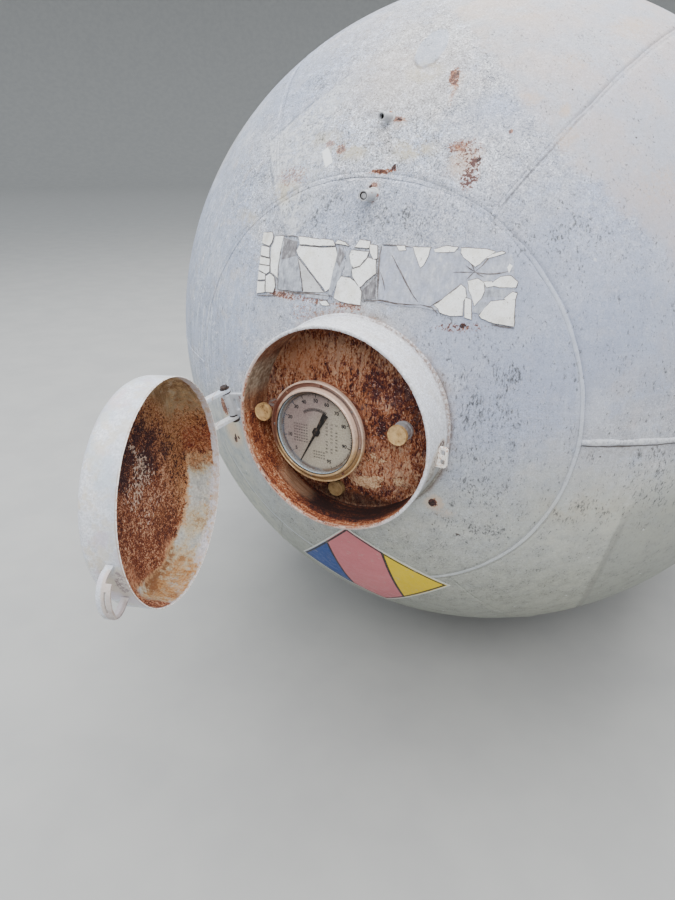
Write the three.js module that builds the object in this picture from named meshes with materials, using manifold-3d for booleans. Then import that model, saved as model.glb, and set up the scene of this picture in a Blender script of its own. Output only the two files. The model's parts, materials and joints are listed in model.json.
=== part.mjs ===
// Propane storage tank: horizontal steel pressure vessel with two hemispherical
// heads (crown disc and six petals each), a round gauge hood with a hinged pan
// lid on the front head, two low saddles, lifting lugs and top and bottom
// fittings. Millimetres, +Z up, tank axis along Y, gauge head facing -Y.
import * as THREE from 'three';
import Module from 'manifold-3d';

const wasm = await Module();
wasm.setup();
const { Manifold, Mesh: MMesh } = wasm;

// ---- driving dimensions (mm) ----
const R = 1067;              // outer radius of shell and heads
const T_SHELL = 14;          // shell plate
const T_HEAD = 9;            // head plate
const L_SHELL = 5700;        // straight shell, seam to seam
const AXIS_Z = 1147;         // tank axis above the floor
const FRONT_Y = -2527.5;     // centre of the front head sphere
const REAR_Y = FRONT_Y + L_SHELL;
const SEAM_AZ = -1.8;        // first petal seam, degrees from +X about the axis
const CROWN = 30.5;          // crown disc half angle
const GAP = 0.3;             // clearance left between neighbouring pieces
const PER_PETAL = 8;         // facets across one petal
const RINGS_CROWN = 4;
const RINGS_PETAL = 8;

const HOOD_X = 15, HOOD_Z = -13;     // hood centre off the tank axis
const HOOD_RO = 254, HOOD_RI = 244.5;
const HOOD_RIM = 1151;               // rim of the hood, out from the head centre

const LID_RO = 263, LID_RI = 260;    // lid skirt
const LID_LIP = 1125;                // lip of the closed lid
const LID_SKIRT = 62, LID_KNUCKLE = 36, LID_DOME = 14, LID_T = 3;
const HINGE_P = [-309, -13, 1100];   // a point on the hinge line (x, z, out)
const HINGE_A = [-0.175, 0.963, 0.205];  // leaning hinge line (x, z, out)
const LID_OPEN = -74.3;              // closed to rest, degrees about HINGE_A

const GAUGE_X = -39.2, GAUGE_Z = -35.5;  // gauge centre
const GAUGE_R = 130;                 // gauge ring
const DIAL_R = 103;

const LEFT_CAP = [-200.3, -14.2], RIGHT_CAP = [164.4, -11.6], LOW_PLUG = [-15.8, -208];
const LOWER_COUPLING = [14.3, 498.3], UPPER_COUPLING = [4, 661];

const SADDLE_Y = [FRONT_Y + 800, REAR_Y - 800];  // saddle centres
const PAD_T = 10, PAD_W = 300, PAD_HALF = 52;
const BASE_T = 16, BASE_HALF = 800, BASE_W = 240;

// ---- helpers ----
const rad = (d) => (d * Math.PI) / 180;
// head frame: x to the viewer's right, z up, out of the head
const front = (x, z, out) => new THREE.Vector3(x, FRONT_Y - out, AXIS_Z + z);
const rear = (x, z, out) => new THREE.Vector3(x, REAR_Y + out, AXIS_Z + z);

function fromMesh(positions, tris) {
  const g = new THREE.BufferGeometry();
  g.setAttribute('position', new THREE.Float32BufferAttribute(positions, 3));
  g.setIndex(tris);
  return orient(g);
}

function volume(g) {
  const p = g.attributes.position, ix = g.index.array;
  let v = 0;
  const a = new THREE.Vector3(), b = new THREE.Vector3(), c = new THREE.Vector3();
  for (let i = 0; i < ix.length; i += 3) {
    a.fromBufferAttribute(p, ix[i]);
    b.fromBufferAttribute(p, ix[i + 1]);
    c.fromBufferAttribute(p, ix[i + 2]);
    v += a.dot(b.cross(c)) / 6;
  }
  return v;
}

function orient(g) {
  if (volume(g) < 0) {
    const ix = g.index.array;
    for (let i = 0; i < ix.length; i += 3) [ix[i + 1], ix[i + 2]] = [ix[i + 2], ix[i + 1]];
  }
  return g;
}

function toManifold(g) {
  const p = g.attributes.position.array, ix = g.index.array;
  const m = new MMesh({ numProp: 3, vertProperties: Float32Array.from(p), triVerts: Uint32Array.from(ix) });
  m.merge();
  return new Manifold(m);
}

function fromManifold(man) {
  const m = man.getMesh();
  return fromMesh(Array.from(m.vertProperties), Array.from(m.triVerts));
}

// closed solid between two vertex grids (rows x cols), outer and inner
function gridSolid(outer, inner, closedCols) {
  const rows = outer.length, cols = outer[0].length;
  const pos = [], tri = [], idx = [[], []];
  [outer, inner].forEach((grid, s) => {
    for (let i = 0; i < rows; i++) {
      idx[s].push([]);
      for (let j = 0; j < cols; j++) {
        if (j > 0 && grid[i].pole) { idx[s][i].push(idx[s][i][0]); continue; }
        const v = grid[i][j];
        idx[s][i].push(pos.length / 3);
        pos.push(v.x, v.y, v.z);
      }
    }
  });
  const quad = (a, b, c, d) => {
    if (a !== b && b !== c && a !== c) tri.push(a, b, c);
    if (a !== c && c !== d && a !== d) tri.push(a, c, d);
  };
  const nc = closedCols ? cols : cols - 1;
  for (let i = 0; i < rows - 1; i++) {
    for (let j = 0; j < nc; j++) {
      const k = (j + 1) % cols;
      quad(idx[0][i][j], idx[0][i + 1][j], idx[0][i + 1][k], idx[0][i][k]);
      quad(idx[1][i][j], idx[1][i][k], idx[1][i + 1][k], idx[1][i + 1][j]);
    }
  }
  for (const i of [0, rows - 1]) {
    if (outer[i].pole) continue;
    for (let j = 0; j < nc; j++) {
      const k = (j + 1) % cols;
      if (i === 0) quad(idx[0][i][j], idx[0][i][k], idx[1][i][k], idx[1][i][j]);
      else quad(idx[0][i][j], idx[1][i][j], idx[1][i][k], idx[0][i][k]);
    }
  }
  if (!closedCols) {
    for (let i = 0; i < rows - 1; i++) {
      quad(idx[0][i][0], idx[1][i][0], idx[1][i + 1][0], idx[0][i + 1][0]);
      const j = cols - 1;
      quad(idx[0][i][j], idx[0][i + 1][j], idx[1][i + 1][j], idx[1][i][j]);
    }
  }
  return fromMesh(pos, tri);
}

// piece of a hemispherical head
function headPiece(place, az0, az1, nAz, pol0, pol1, nPol, ro, ri) {
  const ring = Math.abs(az1 - az0 - 360) < 1e-6;
  const grid = (r) => {
    const rows = [];
    for (let i = 0; i <= nPol; i++) {
      const pol = rad(pol0 + ((pol1 - pol0) * i) / nPol);
      const row = [];
      for (let j = 0; j < (ring ? nAz : nAz + 1); j++) {
        const az = rad(az0 + ((az1 - az0) * j) / nAz);
        row.push(place(r * Math.sin(pol) * Math.cos(az), r * Math.sin(pol) * Math.sin(az), r * Math.cos(pol)));
      }
      row.pole = pol0 === 0 && i === 0;
      rows.push(row);
    }
    return rows;
  };
  return gridSolid(grid(ro), grid(ri), ring);
}

// straight tube round the tank axis
function shellPiece(y0, y1, ro, ri) {
  const n = 6 * PER_PETAL;
  const grid = (r) => [y0, y1].map((y) => {
    const row = [];
    for (let j = 0; j < n; j++) {
      const az = rad(SEAM_AZ + (360 * j) / n);
      row.push(new THREE.Vector3(r * Math.cos(az), y, AXIS_Z + r * Math.sin(az)));
    }
    return row;
  });
  return gridSolid(grid(ro), grid(ri), true);
}

// solid of revolution about a line through the origin of a local frame; profile
// points are (radius, height); the profile is closed or starts and ends on the axis
function revolve(profile, n, onAxis) {
  const pts = profile.map(([r, h]) => new THREE.Vector2(r, h));
  if (!onAxis) pts.push(pts[0].clone());
  return orient(clean(new THREE.LatheGeometry(pts, n)));
}

function clean(g) {
  // one vertex per corner
  const p = g.attributes.position, map = new Map(), pos = [], tri = [];
  const key = (i) => [p.getX(i), p.getY(i), p.getZ(i)].map((v) => Math.round(v * 1e4)).join(',');
  const ids = [];
  for (let i = 0; i < p.count; i++) {
    const k = key(i);
    if (!map.has(k)) { map.set(k, pos.length / 3); pos.push(p.getX(i), p.getY(i), p.getZ(i)); }
    ids.push(map.get(k));
  }
  const ix = g.index ? g.index.array : Array.from({ length: p.count }, (_, i) => i);
  for (let i = 0; i < ix.length; i += 3) {
    const a = ids[ix[i]], b = ids[ix[i + 1]], c = ids[ix[i + 2]];
    if (a !== b && b !== c && a !== c) tri.push(a, b, c);
  }
  const out = new THREE.BufferGeometry();
  out.setAttribute('position', new THREE.Float32BufferAttribute(pos, 3));
  out.setIndex(tri);
  return orient(out);
}

// put a local frame (X, Y, Z) at a point: columns are world directions
function placeAt(g, origin, ex, ey, ez) {
  const m = new THREE.Matrix4().makeBasis(ex, ey, ez).setPosition(origin);
  g.applyMatrix4(m);
  return orient(g);
}

const XV = new THREE.Vector3(1, 0, 0), YV = new THREE.Vector3(0, 1, 0), ZV = new THREE.Vector3(0, 0, 1);
const OUT = new THREE.Vector3(0, -1, 0);

// a lathe solid standing out of the front head: heights are "out" values
function frontLathe(profile, x, z, n, onAxis) {
  const g = revolve(profile, n, onAxis);            // local Y is the height
  return placeAt(g, front(x, z, 0), XV, OUT, ZV);
}
// a lathe solid standing up (heights along +Z from the floor)
function upLathe(profile, x, y, n, onAxis) {
  const g = revolve(profile, n, onAxis);
  return placeAt(g, new THREE.Vector3(x, y, 0), XV, ZV, YV);
}

const cyl = (r, h0, h1) => [[0, h0], [r, h0], [r, h1], [0, h1]];
const ring = (ro, ri, h0, h1) => [[ri, h0], [ro, h0], [ro, h1], [ri, h1]];

function box(x0, x1, y0, y1, z0, z1) {
  const g = new THREE.BoxGeometry(x1 - x0, y1 - y0, z1 - z0);
  g.translate((x0 + x1) / 2, (y0 + y1) / 2, (z0 + z1) / 2);
  return clean(g);
}

const cut = (g, ...tools) => {
  let m = toManifold(g);
  for (const t of tools) m = m.subtract(toManifold(t));
  return fromManifold(m);
};
const join = (...gs) => {
  let m = toManifold(gs[0]);
  for (const g of gs.slice(1)) m = m.add(toManifold(g));
  return fromManifold(m);
};
const common = (a, b) => fromManifold(toManifold(a).intersect(toManifold(b)));

// flat bar outline extruded: points in a plane (e1, e2), thickness along e3
function plate(points, holes, thick, origin, e1, e2, e3) {
  const s = new THREE.Shape(points.map(([a, b]) => new THREE.Vector2(a, b)));
  for (const h of holes) s.holes.push(new THREE.Path(h.map(([a, b]) => new THREE.Vector2(a, b))));
  const g = new THREE.ExtrudeGeometry(s, { depth: thick, bevelEnabled: false, curveSegments: 12 });
  g.translate(0, 0, -thick / 2);
  return placeAt(clean(g), origin, e1, e2, e3);
}
const circlePts = (cx, cy, r, n, a0 = 0) => Array.from({ length: n }, (_, i) => {
  const t = a0 + (2 * Math.PI * i) / n;
  return [cx + r * Math.cos(t), cy + r * Math.sin(t)];
});

// ---- cutters: the outside of the vessel grown by the clearance ----
const NAZ = 6 * PER_PETAL;
const k = (R + GAP) / R;
function solidHead(place) {
  const rows = RINGS_CROWN + RINGS_PETAL;
  const pos = [], tri = [];
  const put = (v) => { pos.push(v.x, v.y, v.z); return pos.length / 3 - 1; };
  const polar = [];
  for (let i = 1; i <= RINGS_CROWN; i++) polar.push((CROWN * i) / RINGS_CROWN);
  for (let i = 1; i <= RINGS_PETAL; i++) polar.push(CROWN + ((90 - CROWN) * i) / RINGS_PETAL);
  const pole = put(place(0, 0, R * k));
  const ids = polar.map((pd) => {
    const row = [];
    for (let j = 0; j < NAZ; j++) {
      const az = rad(SEAM_AZ + (360 * j) / NAZ), pr = rad(pd);
      row.push(put(place(R * k * Math.sin(pr) * Math.cos(az), R * k * Math.sin(pr) * Math.sin(az), R * k * Math.cos(pr))));
    }
    return row;
  });
  const centre = put(place(0, 0, 0));
  for (let j = 0; j < NAZ; j++) {
    const n = (j + 1) % NAZ;
    tri.push(pole, ids[0][j], ids[0][n]);
    for (let i = 0; i < rows - 1; i++) {
      tri.push(ids[i][j], ids[i + 1][j], ids[i + 1][n], ids[i][j], ids[i + 1][n], ids[i][n]);
    }
    tri.push(ids[rows - 1][j], centre, ids[rows - 1][n]);
  }
  return fromMesh(pos, tri);
}
function solidShell(r) {
  const pos = [], tri = [], a = [], b = [];
  const put = (x, y, z) => { pos.push(x, y, z); return pos.length / 3 - 1; };
  for (let j = 0; j < NAZ; j++) {
    const az = rad(SEAM_AZ + (360 * j) / NAZ);
    a.push(put(r * Math.cos(az), FRONT_Y, AXIS_Z + r * Math.sin(az)));
    b.push(put(r * Math.cos(az), REAR_Y, AXIS_Z + r * Math.sin(az)));
  }
  const ca = put(0, FRONT_Y, AXIS_Z), cb = put(0, REAR_Y, AXIS_Z);
  for (let j = 0; j < NAZ; j++) {
    const n = (j + 1) % NAZ;
    tri.push(a[j], a[n], b[n], a[j], b[n], b[j], ca, a[n], a[j], cb, b[j], b[n]);
  }
  return fromMesh(pos, tri);
}
const HEAD_CUT = solidHead(front);
const SHELL_CUT = solidShell(R + GAP);

// ---- nodes ----
const root = new THREE.Group();
root.name = 'propane_storage_tank';
function add(name, geometry, color, rough = 0.7, metal = 0.1) {
  geometry.computeVertexNormals();
  const mesh = new THREE.Mesh(geometry, new THREE.MeshStandardMaterial({ color, roughness: rough, metalness: metal }));
  mesh.name = name;
  root.add(mesh);
}
const PAINT = 0xb9bdbd, PAINT_LIGHT = 0xcfd2cf, RUST = 0x7a3a22, BRASS = 0xb9a06a, STEEL = 0x6f6a63, FACE = 0xd8d6cc, BLACK = 0x1c1c1c;

// vessel
const da = ((GAP / 2) / R) * (180 / Math.PI);
for (const [side, place] of [['front', front], ['rear', rear]]) {
  add(`${side}_crown`, headPiece(place, SEAM_AZ, SEAM_AZ + 360, NAZ, 0, CROWN - da, RINGS_CROWN, R, R - T_HEAD), PAINT);
  for (let p = 0; p < 6; p++) {
    const a0 = SEAM_AZ + 60 * p;
    add(`${side}_petal_${p + 1}`, headPiece(place, a0 + da, a0 + 60 - da, PER_PETAL, CROWN + da, 90 - da, RINGS_PETAL, R, R - T_HEAD), PAINT);
  }
}
const COURSE = L_SHELL / 3;
for (let c = 0; c < 3; c++) {
  add(`shell_course_${c + 1}`, shellPiece(FRONT_Y + COURSE * c + GAP / 2, FRONT_Y + COURSE * (c + 1) - GAP / 2, R, R - T_SHELL), PAINT);
}

// gauge hood: a short pipe collar on the front head
add('gauge_hood', cut(frontLathe([[HOOD_RI, 1000], [HOOD_RO, 1000], [HOOD_RO, HOOD_RIM - 2], [HOOD_RO - 2, HOOD_RIM], [HOOD_RI + 2, HOOD_RIM], [HOOD_RI, HOOD_RIM - 2]], HOOD_X, HOOD_Z, 48, false), HEAD_CUT), PAINT);

// gauge
add('gauge_flange', cut(frontLathe([[0, 1000], [112, 1000], [112, 1092], [124, 1092], [124, 1103], [0, 1103]], GAUGE_X, GAUGE_Z, 40, true), HEAD_CUT), STEEL, 0.6, 0.5);
add('gauge_bezel', frontLathe([[DIAL_R + GAP, 1103 + GAP], [GAUGE_R, 1103 + GAP], [GAUGE_R, 1115], [GAUGE_R - 2, 1117], [121.5, 1117], [113, 1127], [DIAL_R + 3, 1127], [DIAL_R + GAP, 1113]], GAUGE_X, GAUGE_Z, 48, false), BRASS, 0.45, 0.8);
add('gauge_dial', frontLathe(cyl(DIAL_R, 1103 + GAP, 1111), GAUGE_X, GAUGE_Z, 40, true), FACE, 0.5, 0);
{
  const ang = rad(-118.5), u = front(0, 0, 0);
  const e1 = new THREE.Vector3(Math.cos(ang), 0, Math.sin(ang));
  const e2 = new THREE.Vector3(-Math.sin(ang), 0, Math.cos(ang));
  const needle = plate([[97, -0.8], [97, 0.8], [10, 3.2], [6, 9.5], [-7, 9.5], [-12, 4.5], [-57, 8], [-57, -8], [-12, -4.5], [-7, -9.5], [6, -9.5], [10, -3.2]], [], 1.6, front(GAUGE_X, GAUGE_Z, 1114.5), e1, e2, OUT);
  add('gauge_needle', join(needle, frontLathe(cyl(6, 1111 + GAP, 1118), GAUGE_X, GAUGE_Z, 12, true)), BLACK, 0.5, 0.2);
}

// plugged couplings inside the hood
add('left_bushing', cut(frontLathe(cyl(14, 1000, 1097), LEFT_CAP[0], LEFT_CAP[1], 20, true), HEAD_CUT), STEEL, 0.7, 0.4);
add('left_cap', frontLathe([[0, 1097 + GAP], [23.5, 1097 + GAP], [23.5, 1109], [22.5, 1110], [0, 1110]], LEFT_CAP[0], LEFT_CAP[1], 28, true), BRASS, 0.5, 0.7);
add('right_bushing', cut(frontLathe(cyl(23, 1000, 1081), RIGHT_CAP[0], RIGHT_CAP[1], 24, true), HEAD_CUT), STEEL, 0.7, 0.4);
add('right_cap', frontLathe([[0, 1081 + GAP], [25, 1081 + GAP], [25, 1091], [24, 1092], [0, 1092]], RIGHT_CAP[0], RIGHT_CAP[1], 28, true), BRASS, 0.5, 0.7);
add('low_plug', cut(frontLathe([[0, 1000], [22, 1000], [22, 1060], [20, 1062], [0, 1062]], LOW_PLUG[0], LOW_PLUG[1], 24, true), HEAD_CUT), BRASS, 0.6, 0.5);

// hinge: leaning line, two arms on the lid, a bracket on the hood
const toWorldDir = ([x, z, o]) => new THREE.Vector3(x, -o, z).normalize();
const HA = toWorldDir(HINGE_A);
const HP = front(...HINGE_P);
const swing = new THREE.Matrix4().makeTranslation(HP.x, HP.y, HP.z)
  .multiply(new THREE.Matrix4().makeRotationAxis(HA, rad(LID_OPEN)))
  .multiply(new THREE.Matrix4().makeTranslation(-HP.x, -HP.y, -HP.z));
const opened = (g) => { g.applyMatrix4(swing); return orient(g); };

const LID_BACK = LID_LIP + LID_SKIRT;
const lidProfile = (ro, lip, back) => {
  const pts = [[ro, lip], [ro, back]];
  for (let i = 1; i <= 4; i++) {
    const t = (Math.PI / 2) * (i / 4);
    pts.push([ro - LID_KNUCKLE + LID_KNUCKLE * Math.cos(t), back + LID_KNUCKLE * Math.sin(t)]);
  }
  return pts;
};
const lidOuter = lidProfile(LID_RO, LID_LIP, LID_BACK);
const rk = LID_RO - LID_KNUCKLE;
for (const f of [0.6, 0.3, 0]) lidOuter.push([rk * f, LID_BACK + LID_KNUCKLE + LID_DOME * (1 - f * f)]);
const lidInner = lidOuter.map(([r, h], i) => {
  if (i < 2) return [r - LID_T, h];
  if (i < 6) {
    const t = (Math.PI / 2) * ((i - 1) / 4);
    return [LID_RO - LID_KNUCKLE + (LID_KNUCKLE - LID_T) * Math.cos(t), LID_BACK + (LID_KNUCKLE - LID_T) * Math.sin(t)];
  }
  return [r, h - LID_T];
});
const lidClosed = frontLathe([...lidInner].reverse().concat(lidOuter), HOOD_X, HOOD_Z, 48, true);
const LID_SOLID = frontLathe([[0, LID_LIP], [LID_RO + GAP, LID_LIP], [LID_RO + GAP, LID_BACK + 5], [0, LID_BACK + 5]], HOOD_X, HOOD_Z, 48, true);

// arm directions in the closed pose
const toSkirt = front(HOOD_X - LID_RO, HINGE_P[1], LID_LIP + 27).sub(HP);
const armDir = toSkirt.clone().addScaledVector(HA, -toSkirt.dot(HA)).normalize();
const armSide = new THREE.Vector3().crossVectors(HA, armDir).normalize();
for (const [name, t] of [['hinge_arm_upper', 39], ['hinge_arm_lower', -39]]) {
  const o = HP.clone().addScaledVector(HA, t);
  const outline = [];
  for (let i = 0; i <= 8; i++) {
    const a = Math.PI / 2 + (Math.PI * i) / 8;
    outline.push([12 * Math.cos(a), 12 * Math.sin(a)]);
  }
  outline.push([96, -11], [96, 11]);
  const arm = plate(outline, [circlePts(0, 0, 6.5, 14)], 9, o, armDir, armSide, HA);
  add(name, opened(cut(arm, LID_SOLID)), PAINT_LIGHT);
}
const HOOD_SOLID = frontLathe(cyl(HOOD_RO + GAP, 1000, 1200), HOOD_X, HOOD_Z, 48, true);
{
  // bracket between the arms: barrel on the hinge line, slotted plate to the hood
  const ex = XV.clone().addScaledVector(HA, -XV.dot(HA)).normalize();
  const en = new THREE.Vector3().crossVectors(HA, ex).normalize();
  const slot = [];
  for (let i = 0; i <= 6; i++) slot.push([26 + 6 * Math.cos(Math.PI * (i / 6)), 12 + 6 * Math.sin(Math.PI * (i / 6))]);
  for (let i = 0; i <= 6; i++) slot.push([26 - 6 * Math.cos(Math.PI * (i / 6)), -12 - 6 * Math.sin(Math.PI * (i / 6))]);
  const pl = plate([[0, -31], [98, -31], [98, 31], [0, 31]], [slot], 9, HP, ex, HA, en);
  const barrel = revolve(cyl(12, -31, 31), 20, true);
  placeAt(barrel, HP, ex, HA, en);
  const bore = placeAt(revolve(cyl(6.5, -40, 40), 16, true), HP, ex, HA, en);
  add('hinge_bracket', cut(join(pl, barrel), bore, HOOD_SOLID), PAINT_LIGHT);
  add('hinge_pin', placeAt(revolve([[0, -52], [10, -52], [10, -45], [6, -45], [6, 45], [10, 45], [10, 52], [0, 52]], 14, true), HP, ex, HA, en), STEEL, 0.6, 0.6);
}
add('hood_lid', opened(lidClosed), PAINT_LIGHT);
{
  // strap handle on the free side of the lid
  const c = front(HOOD_X, HOOD_Z, LID_LIP + 26);
  const path = [[LID_RO - 6, 57], [LID_RO + 26, 57], [LID_RO + 51, 39], [LID_RO + 63, 8], [LID_RO + 58, -26], [LID_RO + 36, -47], [LID_RO - 6, -45]];
  const curve = new THREE.CatmullRomCurve3(path.map(([a, b]) => new THREE.Vector3(a, b, 0)), false, 'centripetal');
  const pts = curve.getPoints(24);
  const band = (i0, i1, half) => {
    const left = [], right = [];
    for (let i = i0; i <= i1; i++) {
      const a = pts[Math.max(0, i - 1)], b = pts[Math.min(pts.length - 1, i + 1)];
      const dx = b.x - a.x, dy = b.y - a.y, l = Math.hypot(dx, dy);
      left.push([pts[i].x - (dy / l) * half, pts[i].y + (dx / l) * half]);
      right.push([pts[i].x + (dy / l) * half, pts[i].y - (dx / l) * half]);
    }
    return left.concat(right.reverse());
  };
  const level = (d) => c.clone().addScaledVector(OUT, d);
  // outer strand all the way round, inner strand and slot over its middle
  const outerBand = plate(band(0, 24, 2.5), [], 17, c, XV, ZV, OUT.clone().negate());
  const innerBand = plate(band(5, 15, 2.5), [], 18, level(-13), XV, ZV, OUT.clone().negate());
  const slotBand = plate(band(7, 13, 8), [], 4, level(-10.5), XV, ZV, OUT.clone().negate());
  add('lid_handle', opened(cut(join(outerBand, innerBand), slotBand, LID_SOLID)), PAINT_LIGHT);
}
{
  // staple on the free side of the hood
  const c = front(HOOD_X, HOOD_Z - 29, 1088);
  const eye = (z) => [[3.5, z - 5], [6, z - 7.5], [12, z - 7.5], [15, z - 5], [15, z + 5], [12, z + 7.5], [6, z + 7.5], [3.5, z + 5]].map(([a, b]) => [HOOD_RO + a, b]);
  const pl = plate([[HOOD_RO - 8, -25], [HOOD_RO + 14, -25], [HOOD_RO + 20, -20], [HOOD_RO + 20, 20], [HOOD_RO + 14, 25], [HOOD_RO - 8, 25]], [eye(11.5), eye(-11.5)], 8, c, XV, ZV, OUT.clone().negate());
  add('hood_staple', cut(pl, HOOD_SOLID), PAINT_LIGHT);
}

// small plugged couplings above the hood
add('lower_coupling', cut(frontLathe([[0, 850], [12.3, 850], [12.3, 985], [8.6, 985], [8.6, 979], [0, 979]], LOWER_COUPLING[0], LOWER_COUPLING[1], 18, true), HEAD_CUT), STEEL);
add('upper_coupling', cut(frontLathe([[0, 700], [10, 700], [10, 880], [6, 880], [6, 862], [0, 862]], UPPER_COUPLING[0], UPPER_COUPLING[1], 18, true), HEAD_CUT), STEEL);

// saddles and their wear pads
const PAD_OUT = solidShell(R + GAP + PAD_T);
const PAD_CUT = solidShell(R + 2 * GAP + PAD_T);
SADDLE_Y.forEach((y, i) => {
  const side = ['front', 'rear'][i];
  const hw = (R + PAD_T) * Math.sin(rad(PAD_HALF)) + 2;
  const block = box(-hw, hw, y - PAD_W / 2, y + PAD_W / 2, 20, AXIS_Z - (R + PAD_T) * Math.cos(rad(PAD_HALF)));
  add(`${side}_wear_pad`, cut(common(PAD_OUT, block), SHELL_CUT), PAINT);
  const top = AXIS_Z - (R + PAD_T) * Math.cos(rad(46));
  const parts = [box(-BASE_HALF, BASE_HALF, y - BASE_W / 2, y + BASE_W / 2, 0, BASE_T), box(-760, 760, y - 7, y + 7, BASE_T - 2, top)];
  for (const x of [-754, -380, 0, 380, 754]) parts.push(box(x - 6, x + 6, y - 100, y + 100, BASE_T - 2, top));
  add(`${side}_saddle`, cut(join(...parts), PAD_CUT), STEEL);
});

// lifting lugs on the top of the shell
[SADDLE_Y[0] + 350, SADDLE_Y[1] - 350].forEach((y, i) => {
  const c = new THREE.Vector3(0, y, AXIS_Z);
  const eye = plate([[-110, R - 40], [110, R - 40], [110, R + 30], [55, R + 135], [-55, R + 135], [-110, R + 30]], [circlePts(0, R + 82, 30, 36)], 25, c, YV, ZV, XV);
  const pad = box(-90, 90, y - 160, y + 160, AXIS_Z + R - 40, AXIS_Z + R + 14);
  add(`lifting_lug_${['front', 'rear'][i]}`, cut(join(eye, pad), SHELL_CUT), PAINT);
});

// relief nozzle with its weather cap, and the plugged drain
const MID_Y = (FRONT_Y + REAR_Y) / 2;
add('relief_nozzle', cut(upLathe([[0, AXIS_Z + R - 40], [57, AXIS_Z + R - 40], [57, AXIS_Z + R + 70], [95, AXIS_Z + R + 70], [95, AXIS_Z + R + 92], [0, AXIS_Z + R + 92]], 0, MID_Y, 28, true), SHELL_CUT), PAINT);
add('relief_cap', upLathe([[0, AXIS_Z + R + 92 + GAP], [88, AXIS_Z + R + 92 + GAP], [88, AXIS_Z + R + 108], [70, AXIS_Z + R + 124], [0, AXIS_Z + R + 132]], 0, MID_Y, 28, true), STEEL);
add('drain_coupling', cut(upLathe([[0, 30], [22, 30], [22, 40], [38, 40], [38, 130], [0, 130]], 0, MID_Y, 20, true), SHELL_CUT), STEEL);

export default root;
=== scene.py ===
import bpy, bmesh, math, json
import numpy as np
from mathutils import Vector, Matrix
from mathutils.geometry import delaunay_2d_cdt

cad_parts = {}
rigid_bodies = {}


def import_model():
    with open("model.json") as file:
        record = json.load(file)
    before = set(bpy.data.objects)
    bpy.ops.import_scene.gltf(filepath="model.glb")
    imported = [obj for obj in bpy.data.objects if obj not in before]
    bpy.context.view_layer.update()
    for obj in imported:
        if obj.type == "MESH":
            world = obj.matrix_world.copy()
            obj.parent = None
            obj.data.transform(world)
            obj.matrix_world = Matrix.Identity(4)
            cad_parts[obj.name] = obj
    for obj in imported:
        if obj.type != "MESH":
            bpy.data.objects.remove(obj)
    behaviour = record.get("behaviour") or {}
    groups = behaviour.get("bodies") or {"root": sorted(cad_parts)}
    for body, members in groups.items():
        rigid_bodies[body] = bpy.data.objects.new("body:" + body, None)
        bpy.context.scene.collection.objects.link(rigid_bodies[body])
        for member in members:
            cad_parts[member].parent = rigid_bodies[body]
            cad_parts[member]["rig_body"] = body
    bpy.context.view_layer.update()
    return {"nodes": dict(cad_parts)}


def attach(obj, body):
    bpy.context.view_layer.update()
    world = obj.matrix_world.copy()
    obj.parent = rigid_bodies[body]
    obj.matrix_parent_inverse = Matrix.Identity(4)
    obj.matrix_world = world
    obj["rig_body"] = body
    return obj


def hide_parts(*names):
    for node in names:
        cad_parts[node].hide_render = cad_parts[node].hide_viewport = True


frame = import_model()
NODES = frame["nodes"]

# ---------------------------------------------------------------- sizes (m)
FY, RY, AZ = -2.5275, 3.1725, 1.147      # head centres and axis height
RV = 1.0642                              # plate surface
T_HEAD, T_SHELL = 0.009, 0.014
SEAM, CROWN = -1.8, 30.5
HX, HZ, HRO, HRI, HRIM = 0.015, -0.013, 0.2534, 0.2447, 1.1509
GX, GZ = -0.0392, -0.0355
LID_RO, LID_RI, LID_LIP = 0.2624, 0.2598, 1.1252
LID_SKIRT, LID_KN, LID_DOME, LID_T = 0.062, 0.036, 0.0135, 0.0028
HINGE_P, HINGE_A, LID_OPEN = (-0.309, -0.013, 1.100), (-0.175, 0.963, 0.205), -74.3
SADDLES = (FY + 0.8, RY - 0.8)
MID = (FY + RY) / 2
RNG = np.random.RandomState(7)


def W(x, z, out):
    return Vector((x, FY - out, AZ + z))


def Wn(x, z, out):
    x, z, out = np.broadcast_arrays(x, z, out)
    return np.stack([x, FY - out, AZ + z], -1)


# ---------------------------------------------------------------- camera
cam_data = bpy.data.cameras.new("cam")
cam_data.sensor_fit = 'AUTO'
cam_data.sensor_width = 36.0
cam_data.lens = 25.896
cam = bpy.data.objects.new("cam", cam_data)
bpy.context.scene.collection.objects.link(cam)
c_right = Vector((0.8753, 0.484, 0.0)).normalized()
c_fwd = Vector((-0.4412, 0.799, -0.409)).normalized()
c_right = (c_right - c_fwd * c_right.dot(c_fwd)).normalized()
c_up = c_right.cross(c_fwd)
cm = Matrix((c_right, c_up, -c_fwd)).transposed().to_4x4()
cm.translation = W(0.7111, 0.5708, 2.3645)
cam.matrix_world = cm
bpy.context.scene.camera = cam

# ---------------------------------------------------------------- noise for shapes
_TAB = np.random.RandomState(11).rand(64, 64, 64)


def vnoise(P, scale, seed=0):
    q = np.asarray(P, float) * scale + 13.7 * seed + 500.0
    i = np.floor(q).astype(int)
    f = q - i
    f = f * f * (3 - 2 * f)
    i &= 63
    j = (i + 1) & 63
    a, b, c = i[..., 0], i[..., 1], i[..., 2]
    d, e, g = j[..., 0], j[..., 1], j[..., 2]
    fx, fy, fz = f[..., 0], f[..., 1], f[..., 2]
    L = lambda u, v, t: u + (v - u) * t
    v = L(L(L(_TAB[a, b, c], _TAB[d, b, c], fx), L(_TAB[a, e, c], _TAB[d, e, c], fx), fy),
          L(L(_TAB[a, b, g], _TAB[d, b, g], fx), L(_TAB[a, e, g], _TAB[d, e, g], fx), fy), fz)
    return 2 * v - 1


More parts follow.
